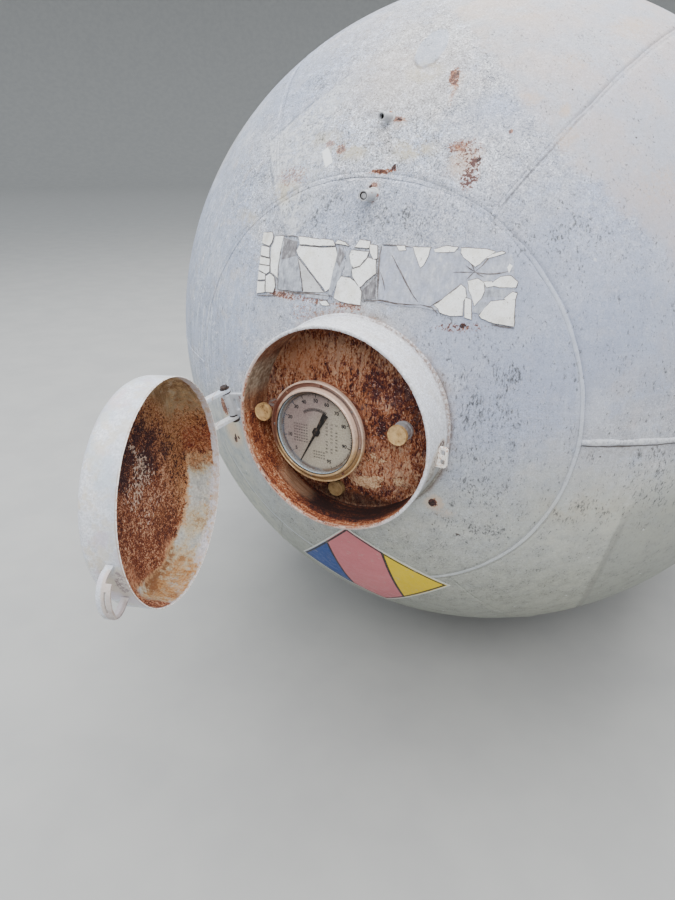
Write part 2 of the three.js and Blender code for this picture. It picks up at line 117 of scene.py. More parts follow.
def fbm(P, scale, octaves=4, seed=0, gain=0.5):
    s, a, t = 0, 1.0, 0
    for k in range(octaves):
        s = s + a * vnoise(P, scale * 2 ** k, seed + k)
        t += a
        a *= gain
    return s / t


# ---------------------------------------------------------------- mesh helpers
def make(name, V, F, mats, fmat=None, body="tank", replaces=(), sharp=None, uv=None):
    me = bpy.data.meshes.new(name)
    V = np.asarray(V, float).reshape(-1, 3)
    F = F.tolist() if isinstance(F, np.ndarray) else F
    me.from_pydata(V.tolist(), [], F)
    for m in (mats if isinstance(mats, (list, tuple)) else [mats]):
        me.materials.append(m)
    if fmat is not None:
        me.polygons.foreach_set("material_index", np.asarray(fmat, np.int32))
    me.polygons.foreach_set("use_smooth", np.ones(len(me.polygons), bool))
    if uv is not None:
        lay = me.uv_layers.new(name="st")
        li = np.zeros(len(me.loops), np.int32)
        me.loops.foreach_get("vertex_index", li)
        lay.data.foreach_set("uv", np.asarray(uv, np.float32)[li].ravel())
    me.update()
    bm = bmesh.new()
    bm.from_mesh(me)
    bmesh.ops.recalc_face_normals(bm, faces=bm.faces)
    bm.to_mesh(me)
    bm.free()
    if sharp is not None:
        me.set_sharp_from_angle(angle=math.radians(sharp))
    ob = bpy.data.objects.new(name, me)
    bpy.context.scene.collection.objects.link(ob)
    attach(ob, body)
    if replaces:
        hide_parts(*replaces)
    return ob


def quads(nu, nv, wu=False, wv=False, base=0, flip=False):
    iu = np.arange(nu if wu else nu - 1)
    iv = np.arange(nv if wv else nv - 1)
    a, b = np.meshgrid(iu, iv, indexing='ij')
    a1, b1 = (a + 1) % nu, (b + 1) % nv
    q = np.stack([a * nv + b, a1 * nv + b, a1 * nv + b1, a * nv + b1], -1).reshape(-1, 4) + base
    return q[:, ::-1] if flip else q


def slab(outer, inner, wrap_v=False):
    """closed plate between two grids (nu, nv, 3)"""
    nu, nv = outer.shape[:2]
    n = nu * nv
    V = np.concatenate([outer.reshape(-1, 3), inner.reshape(-1, 3)])
    F = [quads(nu, nv, wv=wrap_v), quads(nu, nv, wv=wrap_v, base=n, flip=True)]
    iv = np.arange(nv if wrap_v else nv - 1)
    for u in (0, nu - 1):
        a, b = u * nv + iv, u * nv + (iv + 1) % nv
        F.append(np.stack([a, b, b + n, a + n], -1))
    if not wrap_v:
        iu = np.arange(nu - 1)
        for v in (0, nv - 1):
            a, b = iu * nv + v, (iu + 1) * nv + v
            F.append(np.stack([a, b, b + n, a + n], -1))
    return V, np.concatenate(F)


def loft(rows, cap0=False, cap1=False):
    """rows: (n, m, 3), rings closed round; n-gon caps at the ends"""
    rows = np.asarray(rows)
    n, m = rows.shape[:2]
    F = quads(n, m, wv=True).tolist()
    if cap0:
        F.append(list(range(m))[::-1])
    if cap1:
        F.append([(n - 1) * m + i for i in range(m)])
    return rows.reshape(-1, 3), F


def ring_pts(x, z, r, out, n, ph=0.0):
    t = np.linspace(0, 2 * math.pi, n, endpoint=False) + ph
    return Wn(x + r * np.cos(t), z + r * np.sin(t), out)


def lathe(profile, x, z, n=64, mod=None):
    """profile (r, out) standing out of the front head; closed if no point is on the axis"""
    pts = [p for p in profile if p[0] > 0]
    rows = []
    t = np.linspace(0, 2 * math.pi, n, endpoint=False)
    for r, o in pts:
        rr = r * np.ones(n) if mod is None else mod(r, o, t)
        rows.append(Wn(x + rr * np.cos(t), z + rr * np.sin(t), o * np.ones(n)))
    on_axis = profile[0][0] == 0
    if not on_axis:
        rows.append(rows[0])
        V, F = loft(rows[:-1])
        m = n
        a = (len(rows) - 2) * m + np.arange(m)
        b = np.arange(m)
        F += np.stack([a, np.roll(a, -1), np.roll(b, -1), b], -1).tolist()
        return V, F
    return loft(rows, True, True)


def lathe_up(profile, x, y, n=64):
    pts = [p for p in profile if p[0] > 0]
    t = np.linspace(0, 2 * math.pi, n, endpoint=False)
    rows = [np.stack([x + r * np.cos(t), y + r * np.sin(t), h * np.ones(n)], -1) for r, h in pts]
    return loft(rows, True, True)


def join_parts(parts):
    V, F, k = [], [], 0
    for v, f in parts:
        v = np.asarray(v).reshape(-1, 3)
        V.append(v)
        F += [[i + k for i in face] for face in (f.tolist() if isinstance(f, np.ndarray) else f)]
        k += len(v)
    return np.concatenate(V), F


def bead(path, normal, width, height, closed=False, seed=0, sec=7, sink=0.0035, wob=0.14, rip=0.3, lift=-0.0003, part=1.0):
    """weld bead: closed section swept on a surface path"""
    P, N = np.asarray(path, float), np.asarray(normal, float)
    T = (np.roll(P, -1, 0) - np.roll(P, 1, 0)) if closed else np.gradient(P, axis=0)
    T /= np.linalg.norm(T, axis=1, keepdims=True)
    N = N / np.linalg.norm(N, axis=1, keepdims=True)
    B = np.cross(T, N)
    B /= np.linalg.norm(B, axis=1, keepdims=True)
    w = width / 2 * (1 + wob * vnoise(P, 45, seed))
    h = height * part * (1 + rip * vnoise(P, 90, seed + 3) + 0.2 * vnoise(P, 9, seed + 5))
    side = width * 0.16 * vnoise(P, 14, seed + 8)
    rows = []
    for s in np.linspace(-1, 1, sec):
        rows.append(P + B * (s * w + side)[:, None] + N * (h * (1 - s * s) + lift)[:, None])
    rows.append(P + B * side[:, None] - N * sink)
    G = np.stack(rows, 1)
    n, m = G.shape[:2]
    F = quads(n, m, wu=closed, wv=True).tolist()
    if not closed:
        F.append(list(range(m)))
        F.append([(n - 1) * m + i for i in range(m)][::-1])
    return G.reshape(-1, 3), F


def head_dir(az, pol):
    a, p = np.radians(az), np.radians(pol)
    return np.sin(p) * np.cos(a), np.sin(p) * np.sin(a), np.cos(p)


def head_pt(az, pol, r, end="front"):
    x, z, o = head_dir(az, pol)
    x, z, o = np.broadcast_arrays(x, z, o)
    if end == "front":
        return np.stack([x * r, FY - o * r, AZ + z * r], -1)
    return np.stack([x * r, RY + o * r, AZ + z * r], -1)


def on_head(x, z, off=0.0):
    x, z = np.broadcast_arrays(np.asarray(x, float), np.asarray(z, float))
    o = np.sqrt((RV + off) ** 2 - x * x - z * z)
    return Wn(x, z, o)


def head_norm(P):
    d = np.asarray(P) - np.array([0, FY, AZ])
    return d / np.linalg.norm(d, axis=-1, keepdims=True)


# ---------------------------------------------------------------- material helpers
def C(r, g, b):
    f = lambda v: (v / 255 / 12.92) if v / 255 <= 0.04045 else ((v / 255 + 0.055) / 1.055) ** 2.4
    return (f(r), f(g), f(b), 1.0)


class NG:
    def __init__(s, name, rough=0.6, metal=0.0, spec=0.35):
        s.m = bpy.data.materials.new(name)
        s.m.use_nodes = True
        s.t = s.m.node_tree
        s.t.nodes.clear()
        out = s.t.nodes.new('ShaderNodeOutputMaterial')
        s.b = s.t.nodes.new('ShaderNodeBsdfPrincipled')
        s.t.links.new(s.b.outputs[0], out.inputs[0])
        s.b.inputs['Roughness'].default_value = rough
        s.b.inputs['Metallic'].default_value = metal
        s.b.inputs['Specular IOR Level'].default_value = spec
        s.P = s.t.nodes.new('ShaderNodeTexCoord').outputs['Object']
        s.kept = {}

    def put(s, sock, v):
        if v is None:
            return
        if isinstance(v, bpy.types.NodeSocket):
            s.t.links.new(v, sock)
        else:
            sock.default_value = v

    def M(s, op, a, b=None, c=None, clamp=False):
        n = s.t.nodes.new('ShaderNodeMath')
        n.operation = op
        n.use_clamp = clamp
        for k, v in enumerate((a, b, c)):
            s.put(n.inputs[k], v)
        return n.outputs[0]

    def V(s, op, a, b=None):
        n = s.t.nodes.new('ShaderNodeVectorMath')
        n.operation = op
        s.put(n.inputs[0], a)
        s.put(n.inputs[1], b)
        return n.outputs[1] if op in ('LENGTH', 'DOT_PRODUCT', 'DISTANCE') else n.outputs[0]

    def scale(s, v, k):
        return s.V('MULTIPLY', v, k if isinstance(k, tuple) else (k, k, k))

    def noise(s, sc, det=3, rough=0.55, vec=None, color=False, dist=0.0):
        det = min(det, max(1.0, math.log2(700 / sc)))
        key = (sc, det, rough, (vec or s.P).as_pointer(), dist)
        if key in s.kept:
            return s.kept[key].outputs['Color' if color else 'Fac']
        n = s.t.nodes.new('ShaderNodeTexNoise')
        s.kept[key] = n
        n.inputs['Scale'].default_value = sc
        n.inputs['Detail'].default_value = det
        n.inputs['Roughness'].default_value = rough
        n.inputs['Distortion'].default_value = dist
        s.t.links.new(vec or s.P, n.inputs['Vector'])
        return n.outputs['Color' if color else 'Fac']

    def vor(s, sc, vec=None, feature='F1', color=False):
        key = (sc, (vec or s.P).as_pointer(), feature)
        if key in s.kept:
            return s.kept[key].outputs['Color' if color else 'Distance']
        n = s.t.nodes.new('ShaderNodeTexVoronoi')
        s.kept[key] = n
        n.feature = feature
        n.inputs['Scale'].default_value = sc
        s.t.links.new(vec or s.P, n.inputs['Vector'])
        return n.outputs['Color' if color else 'Distance']

    def smooth(s, x, a, b, lo=0.0, hi=1.0):
        n = s.t.nodes.new('ShaderNodeMapRange')
        n.interpolation_type = 'SMOOTHSTEP'
        s.put(n.inputs['Value'], x)
        for k, v in (('From Min', a), ('From Max', b), ('To Min', lo), ('To Max', hi)):
            n.inputs[k].default_value = v
        return n.outputs[0]

    def mix(s, f, a, b, mode='MIX'):
        n = s.t.nodes.new('ShaderNodeMix')
        n.data_type = 'RGBA'
        n.blend_type = mode
        s.put(n.inputs[0], f)
        s.put(n.inputs[6], a)
        s.put(n.inputs[7], b)
        return n.outputs[2]

    def ramp(s, f, stops):
        n = s.t.nodes.new('ShaderNodeValToRGB')
        cr = n.color_ramp
        while len(cr.elements) < len(stops):
            cr.elements.new(0.5)
        for e, (p, c) in zip(cr.elements, stops):
            e.position, e.color = p, c
        s.put(n.inputs[0], f)
        return n.outputs[0]

    def sep(s, v=None):
        n = s.t.nodes.new('ShaderNodeSeparateXYZ')
        s.t.links.new(v or s.P, n.inputs[0])
        return n.outputs

    def warp(s, sc, amp, det=2, vec=None):
        c = s.noise(sc, det, 0.6, vec, color=True)
        return s.scale(s.V('SUBTRACT', c, (0.5, 0.5, 0.5)), (2 * amp, 2 * amp, 2 * amp))

    def blob(s, P, cx, cz, rx, rz, lo=1.35, hi=0.65, ang=0.0):
        """soft ellipse on the front head, seen along the tank axis"""
        d = s.V('SUBTRACT', P, (cx, 0, AZ + cz))
        if ang:
            a = math.radians(ang)
            u = s.M('DIVIDE', s.V('DOT_PRODUCT', d, (math.cos(a), 0, math.sin(a))), rx)
            v = s.M('DIVIDE', s.V('DOT_PRODUCT', d, (-math.sin(a), 0, math.cos(a))), rz)
            L = s.M('SQRT', s.M('ADD', s.M('MULTIPLY', u, u), s.M('MULTIPLY', v, v)))
        else:
            L = s.V('LENGTH', s.V('MULTIPLY', d, (1 / rx, 0, 1 / rz)))
        return s.smooth(L, lo, hi)

    def most(s, *ms):
        a = ms[0]
        for b in ms[1:]:
            a = s.M('MAXIMUM', a, b)
        return a

    def times(s, a, b):
        return s.M('MULTIPLY', a, b)

    def bump(s, h, dist, strength=1.0, normal=None):
        n = s.t.nodes.new('ShaderNodeBump')
        n.inputs['Distance'].default_value = dist
        n.inputs['Strength'].default_value = strength
        s.put(n.inputs['Height'], h)
        if normal is not None:
            s.t.links.new(normal, n.inputs['Normal'])
        return n.outputs[0]

    def shade(s, col, v):
        """colour times a plain number field"""
        n = s.t.nodes.new('ShaderNodeVectorMath')
        n.operation = 'SCALE'
        s.put(n.inputs[0], col)
        s.put(n.inputs['Scale'], v)
        return n.outputs[0]

    def done(s, color, rough=None, metal=None, normal=None):
        s.put(s.b.inputs['Base Color'], color)
        s.put(s.b.inputs['Roughness'], rough)
        s.put(s.b.inputs['Metallic'], metal)
        s.put(s.b.inputs['Normal'], normal)
        return s.m


def rust_field(g, P, s=(14, 52, 165, 420), k=(0.8, 0.9, 0.8, 0.5)):
    """wide, medium and fine noise summed round 0.5"""
    f = 0.5
    for i, (a, b) in enumerate(zip(s, k)):
        f = g.M('ADD', f, g.times(g.M('SUBTRACT', g.noise(a, 4 if i < 2 else 1, 0.62 if i < 2 else 0.5, P), 0.5), b))
    return f


def rust_ramp(g, f):
    return g.ramp(f, [(0.16, C(46, 27, 31)), (0.30, C(84, 42, 35)), (0.43, C(122, 62, 41)), (0.55, C(150, 86, 55)), (0.69, C(178, 122, 88)), (0.85, C(212, 174, 142))])


def rust_hues(g, col, P, amt=1.0):
    """patches of other rust colours: orange, maroon, grey-violet, and pale scale"""
    a, b, c = g.noise(34, 3, 0.6, P), g.noise(21, 3, 0.6, g.V('ADD', P, (3.1, 1.7, 5.2))), g.noise(150, 2, 0.6, P)
    e = g.times(g.M('SUBTRACT', c, 0.5), 0.8)
    col = g.mix(g.smooth(g.M('ADD', a, e), 0.54, 0.66, 0, 0.60 * amt), col, C(166, 98, 60))
    col = g.mix(g.smooth(g.M('ADD', a, e), 0.46, 0.34, 0, 0.62 * amt), col, C(86, 40, 40))
    col = g.mix(g.smooth(g.M('SUBTRACT', b, e), 0.57, 0.68, 0, 0.55 * amt), col, C(140, 112, 104))
    return col


def rust_color(g, P=None, bias=0.0, s1=9.0, s2=48.0):
    P = P or g.P
    f = g.M('ADD', rust_field(g, P, (s1, s2, 170, 420)), bias)
    return rust_ramp(g, f), f, g.noise(240, 3, 0.6, P)


def paint_base(g, light=1.0, streak=0.12, grain=1.0, craze=0.5, busy=None):
    """chalky grey-white paint: cool and warm clouds, runs, crazing and grain; returns colour and two fine heights"""
    big, mid, mid2 = g.noise(1.7, 2, 0.6), g.noise(7.5, 4, 0.62), g.noise(19, 4, 0.64)
    col = g.mix(g.smooth(big, 0.38, 0.62), C(166, 175, 196), C(180, 180, 182))
    col = g.mix(g.smooth(mid, 0.46, 0.68, 0, 0.60), col, C(152, 160, 178))
    col = g.mix(g.smooth(mid, 0.48, 0.30, 0, 0.55), col, C(206, 209, 216))
    col = g.mix(g.smooth(mid2, 0.53, 0.68, 0, 0.42), col, C(196, 188, 182))
    col = g.mix(g.smooth(mid2, 0.47, 0.34, 0, 0.42), col, C(166, 178, 202))
    st = g.noise(1.0, 4, 0.62, g.V('MULTIPLY', g.V('ADD', g.P, g.warp(8, 0.006)), (64, 64, 3.0)))
    col = g.mix(g.smooth(st, 0.53, 0.76, 0, streak * 2.8), col, C(124, 130, 140))
    col = g.mix(g.smooth(st, 0.47, 0.24, 0, streak * 3.2), col, C(222, 226, 234))
    fine, fin2, fin3, grit = g.noise(330, 1, 0.5), g.noise(120, 4, 0.7), g.noise(42, 4, 0.66), g.noise(200, 1, 0.5)
    # crazed and flaking places: short curved dark lines, pale scales between
    cn = g.noise(52, 3, 0.6, dist=1.6)
    patch = g.smooth(g.noise(3.6, 3, 0.62), 0.44, 0.58)
    if busy is not None:
        patch = g.M('MAXIMUM', patch, g.times(busy, 0.9))
    line = g.times(g.smooth(g.M('ABSOLUTE', g.M('SUBTRACT', cn, 0.5)), 0.020, 0.004), g.times(patch, craze))
    col = g.mix(g.times(line, 0.62), col, C(104, 106, 114))
    scale = g.times(g.smooth(cn, 0.54, 0.62), g.times(patch, craze))
    col = g.mix(g.times(scale, 0.42), col, C(224, 226, 232))
    dv = g.times(g.M('SUBTRACT', fine, 0.5), 0.9 * grain)
    dv = g.M('ADD', dv, g.times(g.M('SUBTRACT', grit, 0.5), 1.35 * grain))
    dv = g.M('ADD', dv, g.times(g.M('SUBTRACT', fin2, 0.5), 0.80 * grain))
    dv = g.M('ADD', dv, g.times(g.M('SUBTRACT', fin3, 0.5), 0.60 * grain))
    if busy is not None:
        dv = g.times(dv, g.M('ADD', 0.70, g.times(busy, 2.15)))
    col = g.shade(col, g.M('ADD', 1.0, dv))
    # small dark pin pricks and pale dots
    pr = g.M('ADD', grit, g.times(g.M('SUBTRACT', fin2, 0.5), 0.9))
    if busy is not None:
        pd, pp = g.M('ADD', pr, g.times(busy, 0.055)), g.M('SUBTRACT', pr, g.times(busy, 0.04))
    else:
        pd, pp = pr, pr
    col = g.mix(g.smooth(pd, 0.67, 0.76, 0, 0.55), col, C(86, 86, 92))
    col = g.mix(g.smooth(pp, 0.34, 0.26, 0, 0.55), col, C(232, 233, 238))
    return col, fine, fin2


def rust_spots(g, col, Pw, spots, fine):
    """spots: (mask, strength, dark) with speckled edges"""
    sp, s2 = g.noise(140, 4, 0.72), g.noise(380, 3, 0.62)
    e = g.M('ADD', g.times(g.M('SUBTRACT', sp, 0.5), 2.6), g.times(g.M('SUBTRACT', s2, 0.5), 1.5))
    rc = g.mix(g.smooth(sp, 0.42, 0.58), C(170, 112, 80), C(112, 62, 48))
    rc = g.mix(g.smooth(s2, 0.53, 0.64, 0, 0.65), rc, C(206, 170, 142))
    for mask, strength, dark in spots:
        m = g.times(g.times(g.smooth(g.M('ADD', mask, e), 0.42, 0.66), g.smooth(mask, 0.03, 0.20)), strength)
        core = g.times(g.smooth(g.M('ADD', mask, g.times(e, 0.7)), 0.72, 0.98), dark)
        col = g.mix(m, col, g.mix(core, rc, C(62, 36, 36)))
    return col


def dark_spots(g, col, masks):
    """solid dark holes and scabs, ragged at the edge"""
    sp = g.noise(170, 4, 0.7)
    for mask in masks:
        m = g.smooth(g.M('ADD', mask, g.times(g.M('SUBTRACT', sp, 0.5), 1.1)), 0.42, 0.60)
        col = g.mix(m, col, g.mix(g.smooth(sp, 0.42, 0.62), C(34, 22, 22), C(76, 46, 40)))
    return col


# ---- front head paint, with the marks of this head
def mat_front_paint():
    g = NG("front_head_paint", 0.62)
    x, y, zz = g.sep()
    z = g.M('SUBTRACT', zz, AZ)
    Pw = g.V('ADD', g.P, g.V('ADD', g.warp(7, 0.022), g.warp(38, 0.006)))
    Pb = g.V('ADD', g.P, g.warp(7, 0.05))
    busy = g.most(g.blob(Pb, -0.02, 0.64, 0.44, 0.34, 1.4, 0.6), g.times(g.blob(Pb, 0.30, 0.30, 0.20, 0.28, 1.5, 0.5), 0.25), g.times(g.blob(Pb, 0.15, -0.52, 0.50, 0.22, 1.5, 0.6), 0.85),
                  g.times(g.blob(Pb, 0.32, -0.12, 0.14, 0.26, 1.5, 0.5), 0.50), g.times(g.blob(Pb, 0.25, 0.90, 0.5, 0.20, 1.5, 0.6), 0.75), g.times(g.blob(Pb, 0.55, 0.62, 0.22, 0.20, 1.5, 0.5), 0.35))
    busy = g.M('SUBTRACT', busy, g.times(g.times(g.smooth(x, 0.40, 0.52), g.smooth(z, -0.10, -0.22)), 0.18))
    col, fine, fin2 = paint_base(g, craze=1.0, grain=1.0, busy=busy)
    Pf = g.V('ADD', g.P, g.warp(60, 0.004))
    wide = g.noise(3.6, 3, 0.62)
    n26 = g.noise(26, 4, 0.66)
    # long runs down the left side
    lf = g.smooth(g.M('ADD', x, g.times(z, 0.22)), -0.30, -0.46)
    st = g.noise(1.0, 4, 0.64, g.V('MULTIPLY', g.V('ADD', g.P, g.warp(9, 0.008)), (105, 105, 3.6)))
    col = g.mix(g.times(lf, g.smooth(st, 0.50, 0.70, 0, 0.50)), col, C(140, 150, 166))
    col = g.mix(g.times(lf, g.smooth(st, 0.49, 0.32, 0, 0.55)), col, C(218, 224, 232))
    # level scratches at the right
    rt = g.smooth(x, 0.26, 0.42)
    hs = g.noise(1.0, 4, 0.64, g.V('MULTIPLY', g.V('ADD', g.P, g.warp(10, 0.006)), (7, 7, 150)))
    col = g.mix(g.times(rt, g.smooth(hs, 0.54, 0.72, 0, 0.30)), col, C(146, 152, 160))
    col = g.mix(g.times(rt, g.smooth(hs, 0.45, 0.30, 0, 0.28)), col, C(212, 216, 222))
    # sunned beige area, upper right of a straight edge
    d = g.M('ADD', g.times(x, 0.669), g.times(z, 0.743))
    d = g.M('ADD', d, g.times(g.M('SUBTRACT', g.noise(14, 5, 0.65), 0.5), 0.11))
    beige = g.smooth(d, 0.692, 0.728)
    bcol = g.mix(g.smooth(g.noise(9, 5, 0.66), 0.38, 0.64), C(204, 186, 172), C(186, 186, 190))
    col = g.mix(g.times(beige, 0.66), col, bcol)
    tl = g.most(g.blob(Pw, -0.02, 0.76, 0.16, 0.09, 1.6, 0.3), g.times(g.blob(Pw, -0.15, 0.88, 0.2, 0.08, 1.6, 0.3), 0.6))
    col = g.mix(g.times(tl, 0.42), col, C(196, 186, 180))
    # blue-grey patches
    midz = g.most(g.blob(Pw, 0.42, 0.26, 0.30, 0.20, 1.6, 0.3), g.times(g.blob(Pw, 0.02, 0.46, 0.32, 0.08, 1.6, 0.3), 0.9), g.times(g.blob(Pw, -0.32, 0.72, 0.14, 0.12, 1.6, 0.3), 0.8),
                  g.times(g.blob(Pw, 0.30, 0.02, 0.16, 0.22, 1.6, 0.3), 0.8), g.times(g.blob(Pw, 0.24, 0.66, 0.10, 0.05, 1.5, 0.3), 0.7))
    col = g.mix(g.times(midz, 0.52), col, C(154, 164, 188))
    col = g.mix(g.times(g.smooth(x, 0.02, 0.34), 0.20), col, C(170, 178, 208))
    out = g.M('SUBTRACT', FY, y)
    fo = g.smooth(out, 0.02, 0.42)
    col = g.mix(g.times(g.times(g.times(g.smooth(x, 0.28, 0.55), g.smooth(z, -0.04, -0.24)), fo), 0.36), col, C(204, 200, 176))
    gz = g.times(g.smooth(g.M('ADD', z, g.times(g.M('SUBTRACT', wide, 0.5), 0.35)), 0.06, -0.24), g.times(g.smooth(g.M('SUBTRACT', FY, y), 0.30, 0.72), g.smooth(x, -0.50, -0.20)))
    col = g.mix(g.times(gz, 0.36), col, g.mix(g.smooth(n26, 0.38, 0.60), C(188, 190, 170), C(170, 172, 160)))
    # darker and greener below: painted shade, with a painted green reflection of grass
    low = g.smooth(g.M('ADD', z, g.times(g.M('SUBTRACT', wide, 0.5), 0.25)), -0.06, -0.60)
    low_shade_col = g.shade(g.mix(g.smooth(n26, 0.4, 0.62), C(164, 166, 154), C(148, 150, 138)), g.M('ADD', 1.0, g.times(g.M('SUBTRACT', fin2, 0.5), 1.3)))
    col = g.mix(g.times(g.times(low, g.smooth(out, 0.0, 0.46, 0.34, 1.0)), 0.72), col, low_shade_col)
    # painted shade, darker towards the lower left
    dk = g.smooth(g.M('ADD', z, g.times(x, 0.30)), -0.20, -0.85)
    col = g.mix(g.times(g.times(dk, 0.40), fo), col, C(114, 116, 104))
    gl = g.times(g.smooth(x, -0.30, -0.40), g.smooth(g.M('ADD', z, g.times(g.M('SUBTRACT', wide, 0.5), 0.2)), 0.0, -0.16))
    col = g.mix(g.times(g.times(gl, 0.62), fo), col, g.mix(g.smooth(n26, 0.40, 0.60), C(182, 182, 166), C(158, 162, 156)))
    col = g.mix(g.times(g.blob(Pw, -0.41, -0.155, 0.045, 0.050, 1.6, 0.3), 0.62), col, C(214, 200, 164))
    # waterline edge at lower right
    e = g.M('SUBTRACT', g.times(x, 0.984), g.times(z, 0.18))
    e = g.M('ADD', e, g.times(g.M('SUBTRACT', n26, 0.5), 0.012))
    edge = g.times(g.smooth(e, 0.690, 0.702), g.smooth(z, -0.12, -0.24))
    col = g.mix(g.times(g.times(edge, g.smooth(out, 0.04, 0.66)), 0.38), col, C(118, 122, 118))
    col = g.mix(g.times(g.times(g.smooth(g.M('ABSOLUTE', g.M('SUBTRACT', e, 0.692)), 0.012, 0.003), g.times(g.smooth(z, -0.18, -0.28), g.smooth(out, 0.20, 0.52))), 0.40), col, C(104, 104, 100))
    # ghost of a removed square sheet, upper left, with flaking rest
    q = g.V('SUBTRACT', Pf, (-0.172, 0, AZ + 0.585))
    u = g.M('ABSOLUTE', g.V('DOT_PRODUCT', q, (0.80, 0, 0.60)))
    v = g.M('ABSOLUTE', g.V('DOT_PRODUCT', q, (-0.60, 0, 0.80)))
    box = g.M('MAXIMUM', u, v)
    ghost = g.times(g.smooth(box, 0.140, 0.132), g.smooth(g.sep(q)[0], 0.09, -0.05))
    gn = g.noise(46, 4, 0.68, dist=0.8)
    col = g.mix(g.times(ghost, g.smooth(gn, 0.42, 0.54, 0.10, 0.72)), col, C(214, 216, 220))
    col = g.mix(g.times(ghost, g.smooth(g.M('ABSOLUTE', g.M('SUBTRACT', gn, 0.50)), 0.020, 0.004, 0, 0.55)), col, C(120, 122, 128))
    col = g.mix(g.times(g.times(g.smooth(g.M('ABSOLUTE', g.M('SUBTRACT', box, 0.140)), 0.005, 0.001), g.smooth(n26, 0.44, 0.58, 0, 0.65)), g.smooth(g.sep(q)[0], 0.05, -0.04)), col, C(112, 118, 128))
    # bluer rounded patch high up with a dark lower edge
    q = g.V('SUBTRACT', Pf, (0.038, 0, AZ + 0.815))
    L = g.V('LENGTH', g.V('MULTIPLY', q, (1 / 0.036, 0, 1 / 0.046)))
    col = g.mix(g.times(g.smooth(L, 1.05, 0.92), 0.55), col, C(166, 178, 200))
    col = g.mix(g.times(g.times(g.smooth(g.M('ABSOLUTE', g.M('SUBTRACT', L, 1.0)), 0.13, 0.04), g.smooth(g.sep(q)[2], -0.015, -0.034)), 0.6), col, C(104, 100, 104))
    # yellow-beige stains
    ys_ = g.most(g.blob(Pw, -0.25, 0.497, 0.045, 0.028, 1.5, 0.4), g.blob(Pw, -0.085, 0.590, 0.055, 0.020, 1.5, 0.4), g.blob(Pw, 0.085, 0.592, 0.050, 0.020, 1.5, 0.4),
                 g.times(g.blob(Pw, 0.05, 0.760, 0.045, 0.022, 1.5, 0.4), 0.8), g.times(g.blob(Pb, 0.56, -0.195, 0.09, 0.045, 1.7, 0.2), 0.45), g.times(g.blob(Pw, -0.16, 0.615, 0.05, 0.018, 1.5, 0.4), 0.7),
                 g.times(g.blob(Pw, -0.37, 0.430, 0.04, 0.02, 1.5, 0.4), 0.7))
    col = g.mix(g.times(g.times(ys_, g.smooth(n26, 0.36, 0.56)), 0.62), col, C(190, 178, 148))
    # mildew: clusters of fine dark dashes
    cl = g.most(g.blob(Pw, 0.383, 0.125, 0.022, 0.050, 1.5, 0.4), g.times(g.blob(Pw, 0.315, 0.050, 0.035, 0.050, 1.6, 0.3), 0.75), g.times(g.blob(Pw, 0.37, 0.05, 0.05, 0.06, 1.6, 0.3), 0.6),
                g.times(g.blob(Pw, 0.345, -0.150, 0.060, 0.055, 1.6, 0.3), 0.85), g.times(g.blob(Pw, 0.355, -0.065, 0.055, 0.040, 1.6, 0.3), 0.7), g.times(g.blob(Pw, 0.365, -0.280, 0.055, 0.030, 1.6, 0.3), 0.85),
                g.times(g.blob(Pw, 0.262, -0.265, 0.035, 0.025, 1.6, 0.3), 0.8), g.times(g.blob(Pw, 0.292, -0.300, 0.012, 0.010, 1.5, 0.4), 1.0), g.times(g.blob(Pb, 0.555, -0.200, 0.095, 0.050, 1.7, 0.2), 0.42),
                g.times(g.blob(Pw, 0.02, 0.462, 0.30, 0.050, 1.6, 0.3), 0.62), g.times(g.blob(Pw, 0.44, 0.40, 0.12, 0.07, 1.6, 0.3), 0.45), g.times(g.blob(Pw, -0.255, 0.755, 0.06, 0.025, 1.6, 0.3), 0.75),
                g.times(g.blob(Pw, -0.215, 0.63, 0.06, 0.03, 1.6, 0.3), 0.55), g.times(g.blob(Pw, 0.70, -0.12, 0.07, 0.10, 1.6, 0.3), 0.65), g.times(g.blob(Pw, 0.30, 0.0, 0.12, 0.30, 1.6, 0.3), 0.35))
    n1 = g.noise(1.0, 2, 0.6, g.V('MULTIPLY', g.V('ADD', g.P, g.warp(60, 0.005)), (210, 210, 82)))
    sp = g.M('ADD', g.M('ADD', n1, g.times(cl, 0.15)), g.times(g.M('SUBTRACT', n26, 0.5), 0.50))
    col = g.mix(g.smooth(sp, 0.60, 0.74, 0, 0.66), col, C(92, 94, 94))
    col = g.mix(g.smooth(sp, 0.72, 0.80, 0, 0.60), col, C(58, 58, 60))
    # sparse dark pits and pale chips
    vz = g.vor(34, Pf)
    vc = g.sep(g.vor(34, Pf, color=True))
    col = g.mix(g.times(g.smooth(vz, 0.10, 0.05), g.smooth(vc[0], 0.84, 0.87)), col, C(84, 78, 76))
    col = g.mix(g.times(g.times(g.smooth(g.M('ADD', vz, g.times(g.M('SUBTRACT', fin2, 0.5), 0.5)), 0.12, 0.06), g.smooth(vc[1], 0.90, 0.93)), 0.6), col, C(222, 224, 228))
